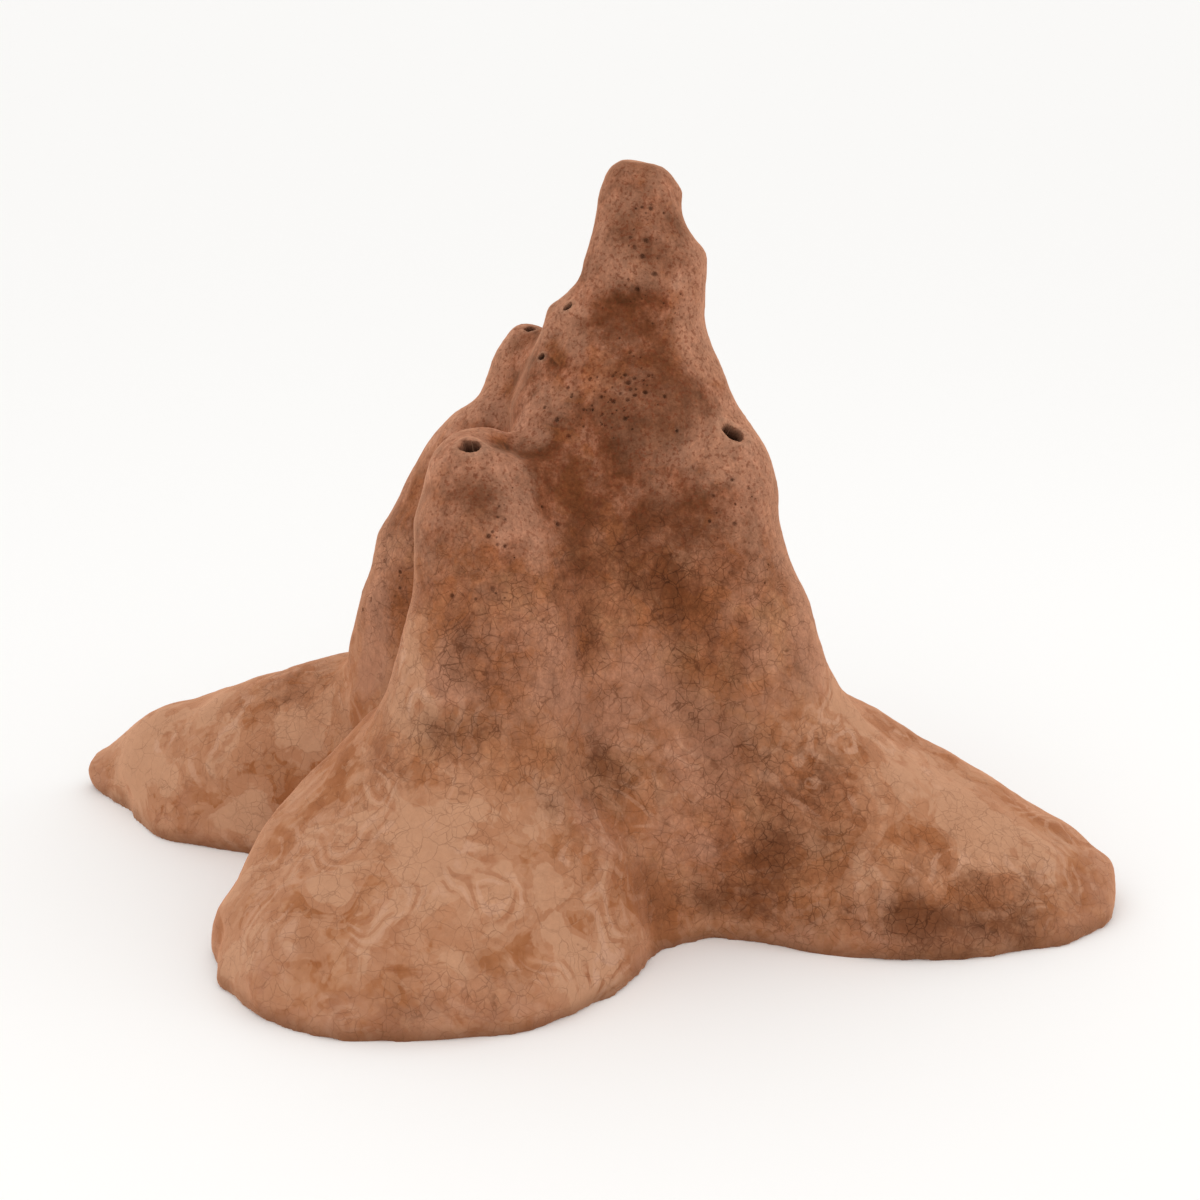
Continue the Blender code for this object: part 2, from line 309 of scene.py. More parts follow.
PUSHES = [
    Push("spire top", 0.201, -0.019, 1.99, 0.040, 0, 0, -9),
    Push("spire edge", 0.295, -0.022, 1.91, 0.030, 8, 0, 3),
    Push("spire shoulder", 0.357, -0.050, 1.755, 0.040, 13, 0, 4),
    Push("under the shoulder", 0.362, -0.056, 1.70, 0.040, 6, 0, 0),
    Push("spire root", 0.370, -0.040, 1.56, 0.060, -10, 0, -1),
    Push("spire left flank", 0.039, -0.044, 1.705, 0.050, 11, 0, -3),
    Push("hump", -0.036, -0.050, 1.604, 0.035, -8, 0, 7),
    Push("waist under the hump", -0.030, -0.155, 1.54, 0.035, 10, 14, 0),
    Push("back column top", -0.125, 0.117, 1.525, 0.035, 0, 0, 9),
    Push("back column saddle", -0.268, 0.102, 1.326, 0.050, 9, 0, -10),
    Push("front column cap", -0.185, -0.336, 1.33, 0.050, -3, 0, -22),
    Push("front column edge, upper", -0.37, -0.38, 1.20, 0.060, 16, 0, 0),
    Push("front column edge, lower", -0.40, -0.48, 0.88, 0.080, -14, 0, 0),
    Push("front column shoulder", -0.120, -0.32, 1.315, 0.060, 0, 0, -38),
    Push("behind the front column", -0.215, 0.0, 1.315, 0.060, 0, -26, 18),
    Push("left column", -0.517, 0.038, 0.96, 0.070, -12, 0, 4),
    Push("left column root", -0.624, 0.072, 0.612, 0.060, -7, 0, 9),
    Push("right column", 0.55, -0.20, 1.12, 0.090, 16, 0, 0),
    Push("right column root", 0.70, -0.21, 0.67, 0.070, -9, 0, -6),
    Push("right leg crest", 1.33, -0.14, 0.185, 0.100, 3, 0, 10),
    Push("right leg tip", 1.495, -0.33, 0.105, 0.060, 10, 0, 6),
    Push("right leg toe", 1.32, -0.58, 0.0, 0.080, 6, -36, 0),
    Push("right leg foot", 0.79, -0.655, 0.0, 0.130, 0, -38, 0),
    Push("bay foot", 0.55, -0.63, 0.0, 0.070, 0, 36, 0),
    Push("bay foot, left", 0.42, -0.59, 0.0, 0.100, 0, 18, 0),
    Push("front leg flank", 0.22, -0.70, 0.0, 0.100, 13, -34, 0),
    Push("front leg corner", 0.12, -0.86, 0.0, 0.080, 8, -24, 0),
    Push("front leg front, right", -0.03, -1.03, 0.0, 0.070, 0, 22, 0),
    Push("front leg front, middle", -0.19, -1.09, 0.0, 0.070, 0, 15, 0),
    Push("front leg front, left", -0.50, -1.08, 0.0, 0.140, 0, -24, 0),
    Push("front leg toe", -0.88, -0.83, 0.01, 0.050, -20, -16, 0),
    Push("above the toe", -0.895, -0.72, 0.087, 0.050, 13, 0, 0),
    Push("notch by the toe", -0.80, -0.961, 0.05, 0.045, 16, 5, 0),
    Push("left leg foot", -1.25, 0.09, 0.0, 0.090, -4, -30, 0),
    Push("left leg foot, outer", -1.376, 0.263, 0.029, 0.060, 9, 18, 0),
    Push("left leg tip", -1.50, 0.40, 0.08, 0.050, -18, 0, 0),
    Push("above the tip", -1.473, 0.455, 0.125, 0.050, 7, 0, -8),
    Push("left leg crest", -1.279, 0.434, 0.265, 0.080, 0, 0, 8),
    Push("left leg crest, middle", -0.988, 0.382, 0.375, 0.070, 0, 0, -11),
    Push("left leg crest, inner", -0.85, 0.36, 0.43, 0.100, 0, 0, -9),
]

for push in PUSHES:
    away = np.linalg.norm(worn - np.array([push.x, push.y, push.z]), axis=1) / push.reach
    worn = worn + np.exp(-away ** 2)[:, None] * MM * np.array([push.right, push.back, push.up])
skin.data.vertices.foreach_set("co", worn.astype(np.float32).ravel())
skin.data.update()
print(len(PUSHES), "pushes, the longest", max(abs(v) for push in PUSHES for v in push[5:]), "mm")

# %% [markdown]
# ## Where the hollows are
#
# The material paints shade into the hollows and a highlight on the ridges, so it needs to know which is
# which. A hollow is where the skin lies below the average of its wide surroundings. Averaging the
# neighbours many times gives that average, and the step from the skin to it, measured outwards, is the depth.

# %% Measure the hollows
HOLLOW_ROUNDS = 70
HOLLOW_DEPTH = 14 * MM
CLEAR_HOLLOW = 0.3

wide_average = worn
for turn in range(HOLLOW_ROUNDS):
    wide_average = neighbour_mean(wide_average, skin_edges)
outwards = mesh_normals(skin.data)
hollows = np.einsum("ij,ij->i", wide_average - worn, outwards) / HOLLOW_DEPTH
print("share of the skin in a hollow:", round(float((hollows > CLEAR_HOLLOW).mean()), 2))

# %% [markdown]
# ## Low relief
#
# Termites add a mouthful at a time, so the worn surface still rolls gently. Two sizes of rolling are
# enough: lumps about the size of a hand, and a much shallower ripple about the size of a coin. Both fade
# out at the ground, so that the flat cut stays flat.

# %% Roll the surface
LUMP_SIZE = 150 * MM
LUMP_HEIGHT = 6 * MM
LUMP_FRACTAL = (1.0, 2.0, 2)  # how fast the finer bumps fade, how much finer each is, and how many
RIPPLE_SIZE = 40 * MM
RIPPLE_HEIGHT = 1.5 * MM
RIPPLE_FRACTAL = (0.8, 2.1, 3)
GROUND_BAND = 60 * MM


def soft_step(low, high, values):
    share = np.clip((values - low) / (high - low), 0, 1)
    return share * share * (3 - 2 * share)


def rolling(place):
    lumps = noise.fractal(place / LUMP_SIZE, *LUMP_FRACTAL)
    ripple = noise.fractal(place / RIPPLE_SIZE, *RIPPLE_FRACTAL)
    return lumps * LUMP_HEIGHT + ripple * RIPPLE_HEIGHT


relief = np.array([rolling(Vector(place)) for place in worn]) * soft_step(0, GROUND_BAND, worn[:, 2])
rolled = worn + outwards * relief[:, None]
lowest, highest = (np.array(corner) for corner in cad_box)
kept_in = np.clip(rolled, lowest, highest)
skin.data.vertices.foreach_set("co", kept_in.astype(np.float32).ravel())
skin.data.update()
print("relief", round(relief.min() / MM, 1), "to", round(relief.max() / MM, 1), "mm;",
      int((kept_in != rolled).any(axis=1).sum()), "points held back at the solid's box")

# %% [markdown]
# ## Pits
#
# Small pits sit in loose clusters on the upper columns, where foraging tunnels once broke out and rain
# has opened them. Each cluster gives its middle, how far it spreads and how many pits it holds. A seeded
# random generator places them, so the mound is the same each time, and every pit is dropped onto the
# nearest point of the skin.

# %% Place the pits
Cluster = namedtuple("Cluster", "x y z spread count")

PIT_CLUSTERS = [
    Cluster(0.21, -0.15, 1.86, 0.022, 8),
    Cluster(0.19, -0.18, 1.78, 0.028, 9),
    Cluster(0.20, -0.20, 1.66, 0.040, 13),
    Cluster(0.12, -0.30, 1.43, 0.045, 36),
    Cluster(0.21, -0.28, 1.46, 0.040, 18),
    Cluster(0.04, -0.28, 1.40, 0.040, 16),
    Cluster(-0.14, -0.49, 1.13, 0.060, 12),
    Cluster(-0.16, -0.57, 0.98, 0.060, 8),
    Cluster(0.46, -0.32, 1.15, 0.055, 10),
    Cluster(0.49, -0.36, 0.99, 0.060, 8),
    Cluster(-0.51, -0.09, 0.85, 0.055, 10),
    Cluster(0.20, 0.18, 1.60, 0.070, 16),
    Cluster(0.38, 0.20, 1.20, 0.080, 12),
    Cluster(-0.20, 0.30, 1.25, 0.070, 12),
    Cluster(0.05, 0.40, 0.95, 0.090, 12),
]
PIT_RADIUS_RANGE = (2.3 * MM, 7.0 * MM)
SMALL_PITS_BIAS = 2.4
PIT_SHADE_RANGE = (0.2, 0.8)
PIT_SEED = 11

dice = random.Random(PIT_SEED)
smallest, largest = PIT_RADIUS_RANGE
skin_corners = [vertex.co for vertex in skin.data.vertices]
skin_faces = [face.vertices for face in skin.data.polygons]
skin_finder = BVHTree.FromPolygons(skin_corners, skin_faces)
pits = []
for cluster in PIT_CLUSTERS:
    for turn in range(cluster.count):
        offset = Vector([dice.gauss(0, cluster.spread) for axis in range(3)])
        place, facing, face_index, distance = skin_finder.find_nearest(Vector(cluster[:3]) + offset)
        radius = smallest + (largest - smallest) * dice.random() ** SMALL_PITS_BIAS
        pits.append((place, facing, radius, dice.uniform(*PIT_SHADE_RANGE)))

pit_finder = kdtree.KDTree(len(pits))
for index, (place, facing, radius, shade) in enumerate(pits):
    pit_finder.insert(place, index)
pit_finder.balance()
print(len(pits), "pits in", len(PIT_CLUSTERS), "clusters")

# %% [markdown]
# ## Finer squares where the detail is
#
# A pit 10 mm wide can't be pressed into squares of 15 mm. Making all of the skin finer would cost a
# million faces, so only the faces around the pits and the mouths are divided, again and again, over a
# smaller reach each time.

# %% Divide the faces around pits and mouths
PIT_REACHES = (18 * MM, 10 * MM, 6 * MM)
MOUTH_REACHES = (2.6, 1.9, 0)
MOUTH_HALF_DEPTH = 60 * MM


def near_mouth(place, reach):
    for vent, into_vent in VENT_FRAMES:
        share, along = share_of_mouth(vent, into_vent, place)
        if share < reach and abs(along) < MOUTH_HALF_DEPTH:
            return True
    return False


bm = bmesh.new()
bm.from_mesh(skin.data)
hollow_layer = bm.verts.layers.float.new("hollow")
for vertex, hollow in zip(bm.verts, hollows):
    vertex[hollow_layer] = hollow

for pit_reach, mouth_reach in zip(PIT_REACHES, MOUTH_REACHES):
    close_faces = set()
    for face in bm.faces:
        centre = face.calc_center_median()
        if pit_finder.find(centre)[2] < pit_reach or near_mouth(centre, mouth_reach):
            close_faces.add(face)
    close_edges = [edge for edge in bm.edges if any(face in close_faces for face in edge.link_faces)]
    bmesh.ops.subdivide_edges(bm, edges=close_edges, cuts=1, use_grid_fill=True)
    print("divided", len(close_edges), "edges;", len(bm.faces), "faces")

# %% Press the pits in
PIT_DEPTH = 1.1
PIT_LIP = 0.12
PIT_LIP_SHARE = 1.25
PIT_LIP_SPREAD = 0.22
PIT_EDGE_REACH = 2.0
PIT_SHADE_FADES = (0.7, 1.3)
PIT_WOBBLE = 0.35
PIT_WOBBLE_SIZE = 8 * MM


def pit_profile(share):
    """A pit's height for a radius of 1: a bowl inside its edge, and a low worn lip just outside."""
    if share < 1:
        return -PIT_DEPTH * (1 - share * share)
    return PIT_LIP * math.exp(-((share - PIT_LIP_SHARE) / PIT_LIP_SPREAD) ** 2)


# Painted shade inside each pit, stored on its vertices for the material.
sunk_shade_layer = bm.verts.layers.float.new("sunk_shade")
for vertex in bm.verts:
    near_pits = pit_finder.find_range(vertex.co, PIT_EDGE_REACH * largest)
    shares = [(distance / pits[index][2], index) for place, index, distance in near_pits]
    if shares:
        share, index = min(shares)
        share *= 1 + PIT_WOBBLE * noise.noise(vertex.co / PIT_WOBBLE_SIZE)
        centre, facing, radius, shade = pits[index]
        vertex.co = vertex.co + facing * (radius * pit_profile(share))
        vertex[sunk_shade_layer] = shade * float(1 - soft_step(*PIT_SHADE_FADES, share))
print("pressed", len(pits), "pits")

# %% [markdown]
# ## Mouths and shafts
#
# A mouth could be cut with a Boolean, but that leaves a knife edge and long thin faces round it. Here
# the faces inside the mouth's oval are deleted instead, the rim is drawn into a rough oval, and its edge
# loop is extruded inwards ring by ring. The first rings are close together, which rounds the lip, and
# each ring is a little narrower than the one before, down to a closed end.

# %% Cut each mouth and sink its shaft
LIP_HEIGHT = 3 * MM
LIP_SHARE = 1.35
LIP_SPREAD = 0.35
LIP_REACH = 2.5
MOUTH_ROUGHNESS = 0.22
MOUTH_FRACTAL = (0.8, 2.0, 3)
MOUTH_NOISE_RADIUS = 1.4
MOUTH_NOISE_STEP = 10  # sets the noise of one mouth far from that of the next
SHAFT_ROUGHNESS = 0.04
SHAFT_BUMP_SIZE = 8 * MM
LIP_SHADE = 0.25
SHADE_PER_DEPTH = 4
# Each ring of a shaft: how deep it lies and how wide it is, as shares of the vent's own.
SHAFT_RINGS = [
    (0.015, 0.97), (0.05, 0.93), (0.11, 0.90), (0.22, 0.88), (0.40, 0.84), (0.65, 0.80), (1.0, 0.70),
]


def rough_oval(vent, local):
    """The share of the oval at which this mouth's rough edge runs, in the direction of a local point."""
    turn = math.atan2(local.y / vent.high, local.x / vent.wide)
    sample = Vector((math.cos(turn) * MOUTH_NOISE_RADIUS, math.sin(turn) * MOUTH_NOISE_RADIUS,
                     vent.z * MOUTH_NOISE_STEP))
    return 1 + MOUTH_ROUGHNESS * noise.fractal(sample, *MOUTH_FRACTAL)


lip_layer = bm.verts.layers.float.new("lip")
for vent, into_vent in VENT_FRAMES:
    out_of_vent = into_vent.inverted()
    outward = (out_of_vent.to_3x3() @ Vector((0, 0, 1))).normalized()
    inside = []
    for vertex in bm.verts:
        local = into_vent @ vertex.co
        share = math.hypot(local.x / vent.wide, local.y / vent.high)
        if share > LIP_REACH or abs(local.z) > MOUTH_HALF_DEPTH:
            continue
        if share < rough_oval(vent, local):
            inside.append(vertex)
        else:
            lip = math.exp(-((share - LIP_SHARE) / LIP_SPREAD) ** 2)
            vertex.co += outward * (LIP_HEIGHT * lip)
            vertex[lip_layer] = max(vertex[lip_layer], lip)
    bmesh.ops.delete(bm, geom=inside, context="VERTS")
    bmesh.ops.delete(bm, geom=[edge for edge in bm.edges if edge.is_wire], context="EDGES")
    ring = [edge for edge in bm.edges if edge.is_boundary]
    for vertex in {vertex for edge in ring for vertex in edge.verts}:
        local = into_vent @ vertex.co
        scale = rough_oval(vent, local) / math.hypot(local.x / vent.wide, local.y / vent.high)
        vertex.co = out_of_vent @ Vector((local.x * scale, local.y * scale, local.z))
    rim_count = len(ring)
    depth_before, width_before = 0.0, 1.0
    for depth, width in SHAFT_RINGS:
        extruded = bmesh.ops.extrude_edge_only(bm, edges=ring)["geom"]
        ring = [part for part in extruded if isinstance(part, bmesh.types.BMEdge) and part.is_boundary]
        for vertex in [part for part in extruded if isinstance(part, bmesh.types.BMVert)]:
            local = into_vent @ vertex.co
            narrower = width / width_before * (1 + SHAFT_ROUGHNESS * noise.noise(local / SHAFT_BUMP_SIZE))
            sunk_to = local.z - (depth - depth_before) * vent.deep
            vertex.co = out_of_vent @ Vector((local.x * narrower, local.y * narrower, sunk_to))
            # Painted shade deepens down the shaft.
            vertex[sunk_shade_layer] = min(1.0, LIP_SHADE + SHADE_PER_DEPTH * depth)
        depth_before, width_before = depth, width
    bmesh.ops.holes_fill(bm, edges=ring, sides=0)
    print("a mouth", round(2 * vent.wide / MM), "x", round(2 * vent.high / MM), "mm with a rim of",
          rim_count, "edges")

# %% [markdown]
# ## The flat cut at the ground
#
# The mound was sawn off level with the ground, so it stands on one flat face. Remeshing filled that face
# with thousands of squares that nobody sees. Cutting them off just above the ground and filling the
# outline with a single face gives a cleaner mesh and an exactly flat foot.

# %% Cut and close the foot
FOOT_CUT = 0.6 * MM
SLIVER = 0.15 * MM

whole = list(bm.verts) + list(bm.edges) + list(bm.faces)
bmesh.ops.bisect_plane(bm, geom=whole, plane_co=(0, 0, FOOT_CUT), plane_no=(0, 0, 1), clear_inner=True)
foot_edges = [edge for edge in bm.edges if edge.is_boundary]
for vertex in {vertex for edge in foot_edges for vertex in edge.verts}:
    vertex.co.z = 0.0
bmesh.ops.dissolve_degenerate(bm, edges=bm.edges, dist=SLIVER)
foot_edges = [edge for edge in bm.edges if edge.is_boundary]
foot = bmesh.ops.holes_fill(bm, edges=foot_edges, sides=0)["faces"]
bmesh.ops.recalc_face_normals(bm, faces=bm.faces)
for face in bm.faces:
    face.smooth = True
for face in foot:
    face.smooth = False
for edge in bm.edges:
    edge.smooth = not any(face in foot for face in edge.link_faces)
open_edges = sum(1 for edge in bm.edges if not edge.is_manifold)
triangles = sum(len(face.verts) - 2 for face in bm.faces)
bm.to_mesh(skin.data)
bm.free()
print("foot faces:", len(foot), " open edges:", open_edges, " triangles:", triangles)

# %% [markdown]
# ## Where stains, dust, painted shade and painted highlights lie
#
# Noise alone would scatter the colours evenly. On a real mound they follow its life, and painted shade
# and painted highlights go in with them: dark runs of damp and painted shade below the gaps between the
# columns, dark splashes low down where wet soil dries last, with painted shade in the bays, pale dust
# smeared over the slopes that catch the sun, pale rubbed places and painted highlights on the columns,
# and red fresh earth on the high columns. Each list below places soft ovals, by their middle, their
# reach across and up, and their share at the middle. Their edges wander by a vector noise, which starts
# from the clock unless it is given a seed, and the material breaks them up finely later.

# %% Dark runs, damp places and painted shade in the bays
Patch = namedtuple("Patch", "x y z wide tall share")

# Damp stains, and painted shade in the bays and the gaps between the columns.
DAMP_AND_SHADE_PATCHES = [
    Patch(0.18, -0.06, 1.97, 0.09, 0.06, 0.70),
    Patch(0.19, -0.17, 1.80, 0.12, 0.10, 0.90),
    Patch(0.21, -0.27, 1.48, 0.10, 0.06, 0.80),
    Patch(0.16, -0.21, 1.58, 0.12, 0.07, 1.30),
    Patch(0.28, -0.31, 1.38, 0.11, 0.06, 1.30),
    Patch(-0.11, 0.08, 1.50, 0.06, 0.05, 0.90),
    Patch(-0.06, -0.38, 1.24, 0.06, 0.06, 0.70),
    Patch(0.16, -0.35, 1.18, 0.06, 0.04, 0.70),
    Patch(-0.50, -0.02, 1.00, 0.05, 0.12, 0.40),
    Patch(0.26, -0.30, 1.42, 0.11, 0.09, 1.00),
    Patch(0.10, -0.31, 1.38, 0.14, 0.12, 0.35),
    Patch(0.10, -0.33, 1.28, 0.14, 0.08, 0.50),
    Patch(0.24, -0.34, 1.10, 0.15, 0.15, 0.60),
    Patch(0.04, -0.37, 1.12, 0.10, 0.14, 0.50),
    Patch(0.02, -0.43, 0.96, 0.07, 0.12, 0.35),
    Patch(0.27, -0.36, 0.95, 0.08, 0.08, 0.35),
    Patch(0.35, -0.40, 0.84, 0.05, 0.08, 0.50),
    Patch(0.42, -0.44, 0.70, 0.05, 0.08, 0.60),
    Patch(0.41, -0.47, 0.60, 0.07, 0.07, 0.60),
    Patch(-0.24, -0.47, 1.18, 0.09, 0.09, 0.90),
    Patch(-0.28, -0.52, 1.08, 0.09, 0.12, 0.25),
    Patch(0.35, -0.35, 1.08, 0.08, 0.07, 1.00),
    Patch(-0.03, -0.72, 0.46, 0.07, 0.07, 0.50),
    Patch(-0.25, -0.63, 0.82, 0.10, 0.08, 0.65),
    Patch(0.14, -0.53, 0.49, 0.08, 0.05, 0.25),
    Patch(-0.01, -0.64, 0.54, 0.05, 0.06, 0.50),
    Patch(0.18, -0.38, 1.02, 0.10, 0.08, 0.50),
    Patch(0.36, -0.60, 0.13, 0.08, 0.05, 0.50),
    Patch(0.50, -0.55, 0.38, 0.08, 0.06, 0.50),
    Patch(1.00, -0.68, 0.03, 0.20, 0.04, 0.50),
    Patch(0.10, -0.52, 0.50, 0.06, 0.04, 0.20),
    Patch(0.54, -0.59, 0.24, 0.08, 0.15, 0.90),
    Patch(0.70, -0.59, 0.28, 0.10, 0.10, 0.65),
    Patch(0.50, -0.50, 0.52, 0.07, 0.08, 0.70),
    Patch(-0.20, -0.58, 0.97, 0.08, 0.08, 0.50),
    Patch(0.50, -0.60, 0.12, 0.10, 0.08, 0.50),
    Patch(0.62, -0.63, 0.10, 0.12, 0.07, 0.55),
    Patch(0.95, -0.67, 0.11, 0.14, 0.07, 1.30),
    Patch(1.10, -0.65, 0.07, 0.16, 0.06, 0.50),
    Patch(1.20, -0.60, 0.14, 0.16, 0.08, 0.45),
    Patch(-0.26, -0.66, 0.63, 0.18, 0.06, 0.60),
    Patch(-0.34, -1.10, 0.08, 0.24, 0.06, 0.35),
    Patch(1.22, -0.63, 0.05, 0.12, 0.05, 0.80),
    Patch(-0.50, -0.45, 0.62, 0.10, 0.05, 0.30),
    Patch(0.30, 0.30, 1.20, 0.10, 0.16, 0.55),
    Patch(-0.02, 0.42, 0.90, 0.10, 0.20, 0.55),
    Patch(0.40, 0.50, 0.55, 0.14, 0.12, 0.50),
    Patch(-0.45, 0.45, 0.35, 0.15, 0.12, 0.50),
    Patch(0.15, 0.10, 1.75, 0.08, 0.08, 0.45),
]
print(len(DAMP_AND_SHADE_PATCHES), "damp places")

# %% Pale dusty slopes
DUST_PATCHES = [
    Patch(-0.34, -0.77, 0.42, 0.22, 0.10, 0.42),
    Patch(-0.26, -0.93, 0.30, 0.24, 0.12, 0.38),
    Patch(-0.06, -0.88, 0.27, 0.16, 0.08, 0.38),
    Patch(-0.55, -0.88, 0.20, 0.16, 0.10, 0.38),
    Patch(0.13, -0.82, 0.10, 0.10, 0.10, 0.40),
    Patch(0.95, -0.38, 0.38, 0.22, 0.12, 0.65),
    Patch(1.16, -0.50, 0.24, 0.14, 0.08, 0.40),
    Patch(0.74, -0.31, 0.56, 0.14, 0.12, 0.75),
    Patch(0.70, -0.60, 0.30, 0.06, 0.05, 0.25),
    Patch(-1.02, 0.14, 0.34, 0.18, 0.10, 0.55),
    Patch(-1.30, 0.22, 0.16, 0.20, 0.16, 0.75),
    Patch(-0.84, -0.86, 0.10, 0.10, 0.12, 0.55),
    Patch(-0.92, -0.04, 0.11, 0.18, 0.07, 0.85),
    Patch(0.08, -0.93, 0.09, 0.12, 0.10, 1.20),
    Patch(-1.40, 0.28, 0.10, 0.08, 0.10, 0.60),
    Patch(0.77, -0.63, 0.22, 0.06, 0.08, 0.50),
    Patch(-0.76, -0.01, 0.33, 0.10, 0.08, 0.60),
    Patch(-0.40, -0.53, 0.77, 0.06, 0.13, 1.05),
    Patch(-0.36, -0.60, 0.66, 0.11, 0.06, 1.10),
    Patch(0.60, 0.50, 0.30, 0.25, 0.12, 0.40),
    Patch(-0.20, 0.70, 0.25, 0.25, 0.12, 0.40),
    Patch(1.10, -0.10, 0.20, 0.20, 0.10, 0.40),
    Patch(-0.90, 0.45, 0.15, 0.20, 0.10, 0.40),
]
print(len(DUST_PATCHES), "dusty slopes")

# %% Rubbed and bleached places and painted highlights on the columns
# Rubbed places, and painted highlights on the columns' edges.
PALE_AND_HIGHLIGHT_PATCHES = [
    Patch(0.12, -0.15, 1.71, 0.05, 0.06, 0.50),
    Patch(0.37, -0.05, 1.55, 0.10, 0.16, 1.00),
    Patch(0.43, -0.22, 1.34, 0.10, 0.08, 0.90),
    Patch(0.54, -0.20, 1.22, 0.10, 0.14, 0.90),
    Patch(0.60, -0.22, 0.98, 0.09, 0.16, 1.10),
    Patch(0.68, -0.30, 0.72, 0.09, 0.14, 1.20),
    Patch(-0.01, -0.14, 1.58, 0.07, 0.06, 0.60),
    Patch(-0.03, -0.26, 1.42, 0.08, 0.08, 0.50),
    Patch(-0.17, 0.06, 1.40, 0.08, 0.08, 1.00),
    Patch(-0.26, 0.08, 1.32, 0.08, 0.07, 0.70),
    Patch(-0.12, -0.42, 1.20, 0.07, 0.09, 1.00),
    Patch(-0.08, -0.48, 1.08, 0.06, 0.12, 0.60),
    Patch(-0.52, -0.08, 0.86, 0.08, 0.16, 0.40),
    Patch(-0.55, -0.11, 0.60, 0.08, 0.12, 1.10),
    Patch(-0.19, -0.02, 1.34, 0.07, 0.05, 1.00),
    Patch(0.09, -0.53, 0.55, 0.06, 0.05, 0.60),
    Patch(-0.09, -0.26, 1.31, 0.07, 0.05, 1.00),
    Patch(0.15, -0.19, 1.69, 0.08, 0.05, 0.40),
    Patch(0.02, -0.18, 1.54, 0.05, 0.05, 0.70),
    Patch(0.33, -0.31, 1.30, 0.06, 0.05, 1.10),
    Patch(0.35, -0.15, 1.55, 0.07, 0.09, 1.30),
    Patch(0.26, -0.34, 1.17, 0.07, 0.06, 0.60),
    Patch(-0.13, -0.44, 1.20, 0.06, 0.10, 1.20),
    Patch(-0.33, -0.62, 0.73, 0.08, 0.10, 1.10),
    Patch(0.10, -0.52, 0.60, 0.12, 0.08, 0.70),
    Patch(0.43, -0.28, 1.25, 0.09, 0.05, 1.00),
    Patch(0.25, -0.33, 1.17, 0.07, 0.06, 0.40),
    Patch(-0.02, -0.57, 0.68, 0.12, 0.07, 0.60),
    Patch(0.30, -0.43, 0.62, 0.08, 0.07, 0.60),
    Patch(0.37, -0.49, 0.46, 0.10, 0.09, 1.00),
    Patch(0.07, -0.67, 0.39, 0.08, 0.08, 0.60),
    Patch(0.35, -0.57, 0.26, 0.07, 0.06, 0.70),
    Patch(-0.50, -0.38, 0.74, 0.08, 0.10, 0.80),
    Patch(-0.02, -0.55, 0.75, 0.08, 0.12, 0.60),
    Patch(0.20, -0.44, 0.72, 0.12, 0.14, 0.60),
    Patch(0.36, -0.50, 0.50, 0.08, 0.08, 0.60),
    Patch(0.24, -0.58, 0.30, 0.12, 0.10, 0.50),
    Patch(0.30, 0.15, 1.50, 0.12, 0.14, 0.55),
    Patch(0.00, 0.30, 1.20, 0.12, 0.14, 0.55),
    Patch(-0.30, 0.38, 0.80, 0.12, 0.14, 0.50),
    Patch(0.45, 0.30, 0.85, 0.12, 0.16, 0.50),
]
print(len(PALE_AND_HIGHLIGHT_PATCHES), "pale places on the columns")

# %% Brown earth between the legs
BROWN_PATCHES = [
    Patch(0.20, -0.40, 0.85, 0.28, 0.40, 1.0),
    Patch(0.42, -0.58, 0.30, 0.24, 0.26, 1.0),
    Patch(0.62, -0.50, 0.46, 0.20, 0.13, 0.8),
    Patch(0.80, -0.66, 0.12, 0.22, 0.12, 0.7),
    Patch(1.14, -0.62, 0.16, 0.15, 0.11, 0.8),
    Patch(0.94, -0.60, 0.25, 0.18, 0.06, 0.5),
    Patch(-0.22, -0.50, 0.88, 0.18, 0.20, 0.7),
    Patch(-0.05, -0.60, 0.55, 0.16, 0.12, 0.5),
    Patch(-0.30, -0.68, 0.58, 0.22, 0.08, 0.8),
    Patch(-0.80, 0.08, 0.41, 0.12, 0.07, 0.7),
    Patch(-0.50, -0.63, 0.55, 0.10, 0.06, 1.0),
    Patch(0.70, -0.54, 0.38, 0.17, 0.08, 0.9),
    Patch(-0.47, -0.75, 0.40, 0.12, 0.06, 0.4),
    Patch(0.00, -0.84, 0.29, 0.10, 0.06, 0.4),
    Patch(-0.20, -0.95, 0.28, 0.12, 0.05, 0.4),
    Patch(-0.20, -1.07, 0.13, 0.14, 0.06, 0.4),
    Patch(0.06, -0.66, 0.36, 0.11, 0.14, 0.6),
    Patch(-0.50, -0.10, 0.74, 0.14, 0.22, 0.5),
    Patch(-0.84, 0.18, 0.46, 0.18, 0.08, 0.6),
    Patch(0.30, 0.45, 0.60, 0.30, 0.40, 0.9),
    Patch(-0.25, 0.45, 0.55, 0.25, 0.30, 0.8),
    Patch(0.50, 0.10, 0.90, 0.20, 0.30, 0.8),
]
print(len(BROWN_PATCHES), "brown places")

# %% Spread the patches over the skin
# The pairs are heights in metres, or for flat ground the upward part of the normal, between which a share
# fades in or out.
HALF = 0.5
EDGE_WANDER = 45 * MM
EDGE_WANDER_SIZE = 110 * MM
EDGE_WANDER_SEED = 290
DUST_OVER_BROWN = 0.8
LEG_DUST = 0.26
LEG_DUST_FADES = (0.75, 0.45)
FLAT_DUST = 0.12
FLAT_DUST_GROWS = (0.2, 0.8)
BROWN_HEIGHTS = (0.45, 0.80)
RUDDY_HEIGHTS = (0.80, 1.25)
RUDDY_WANDER = 0.10

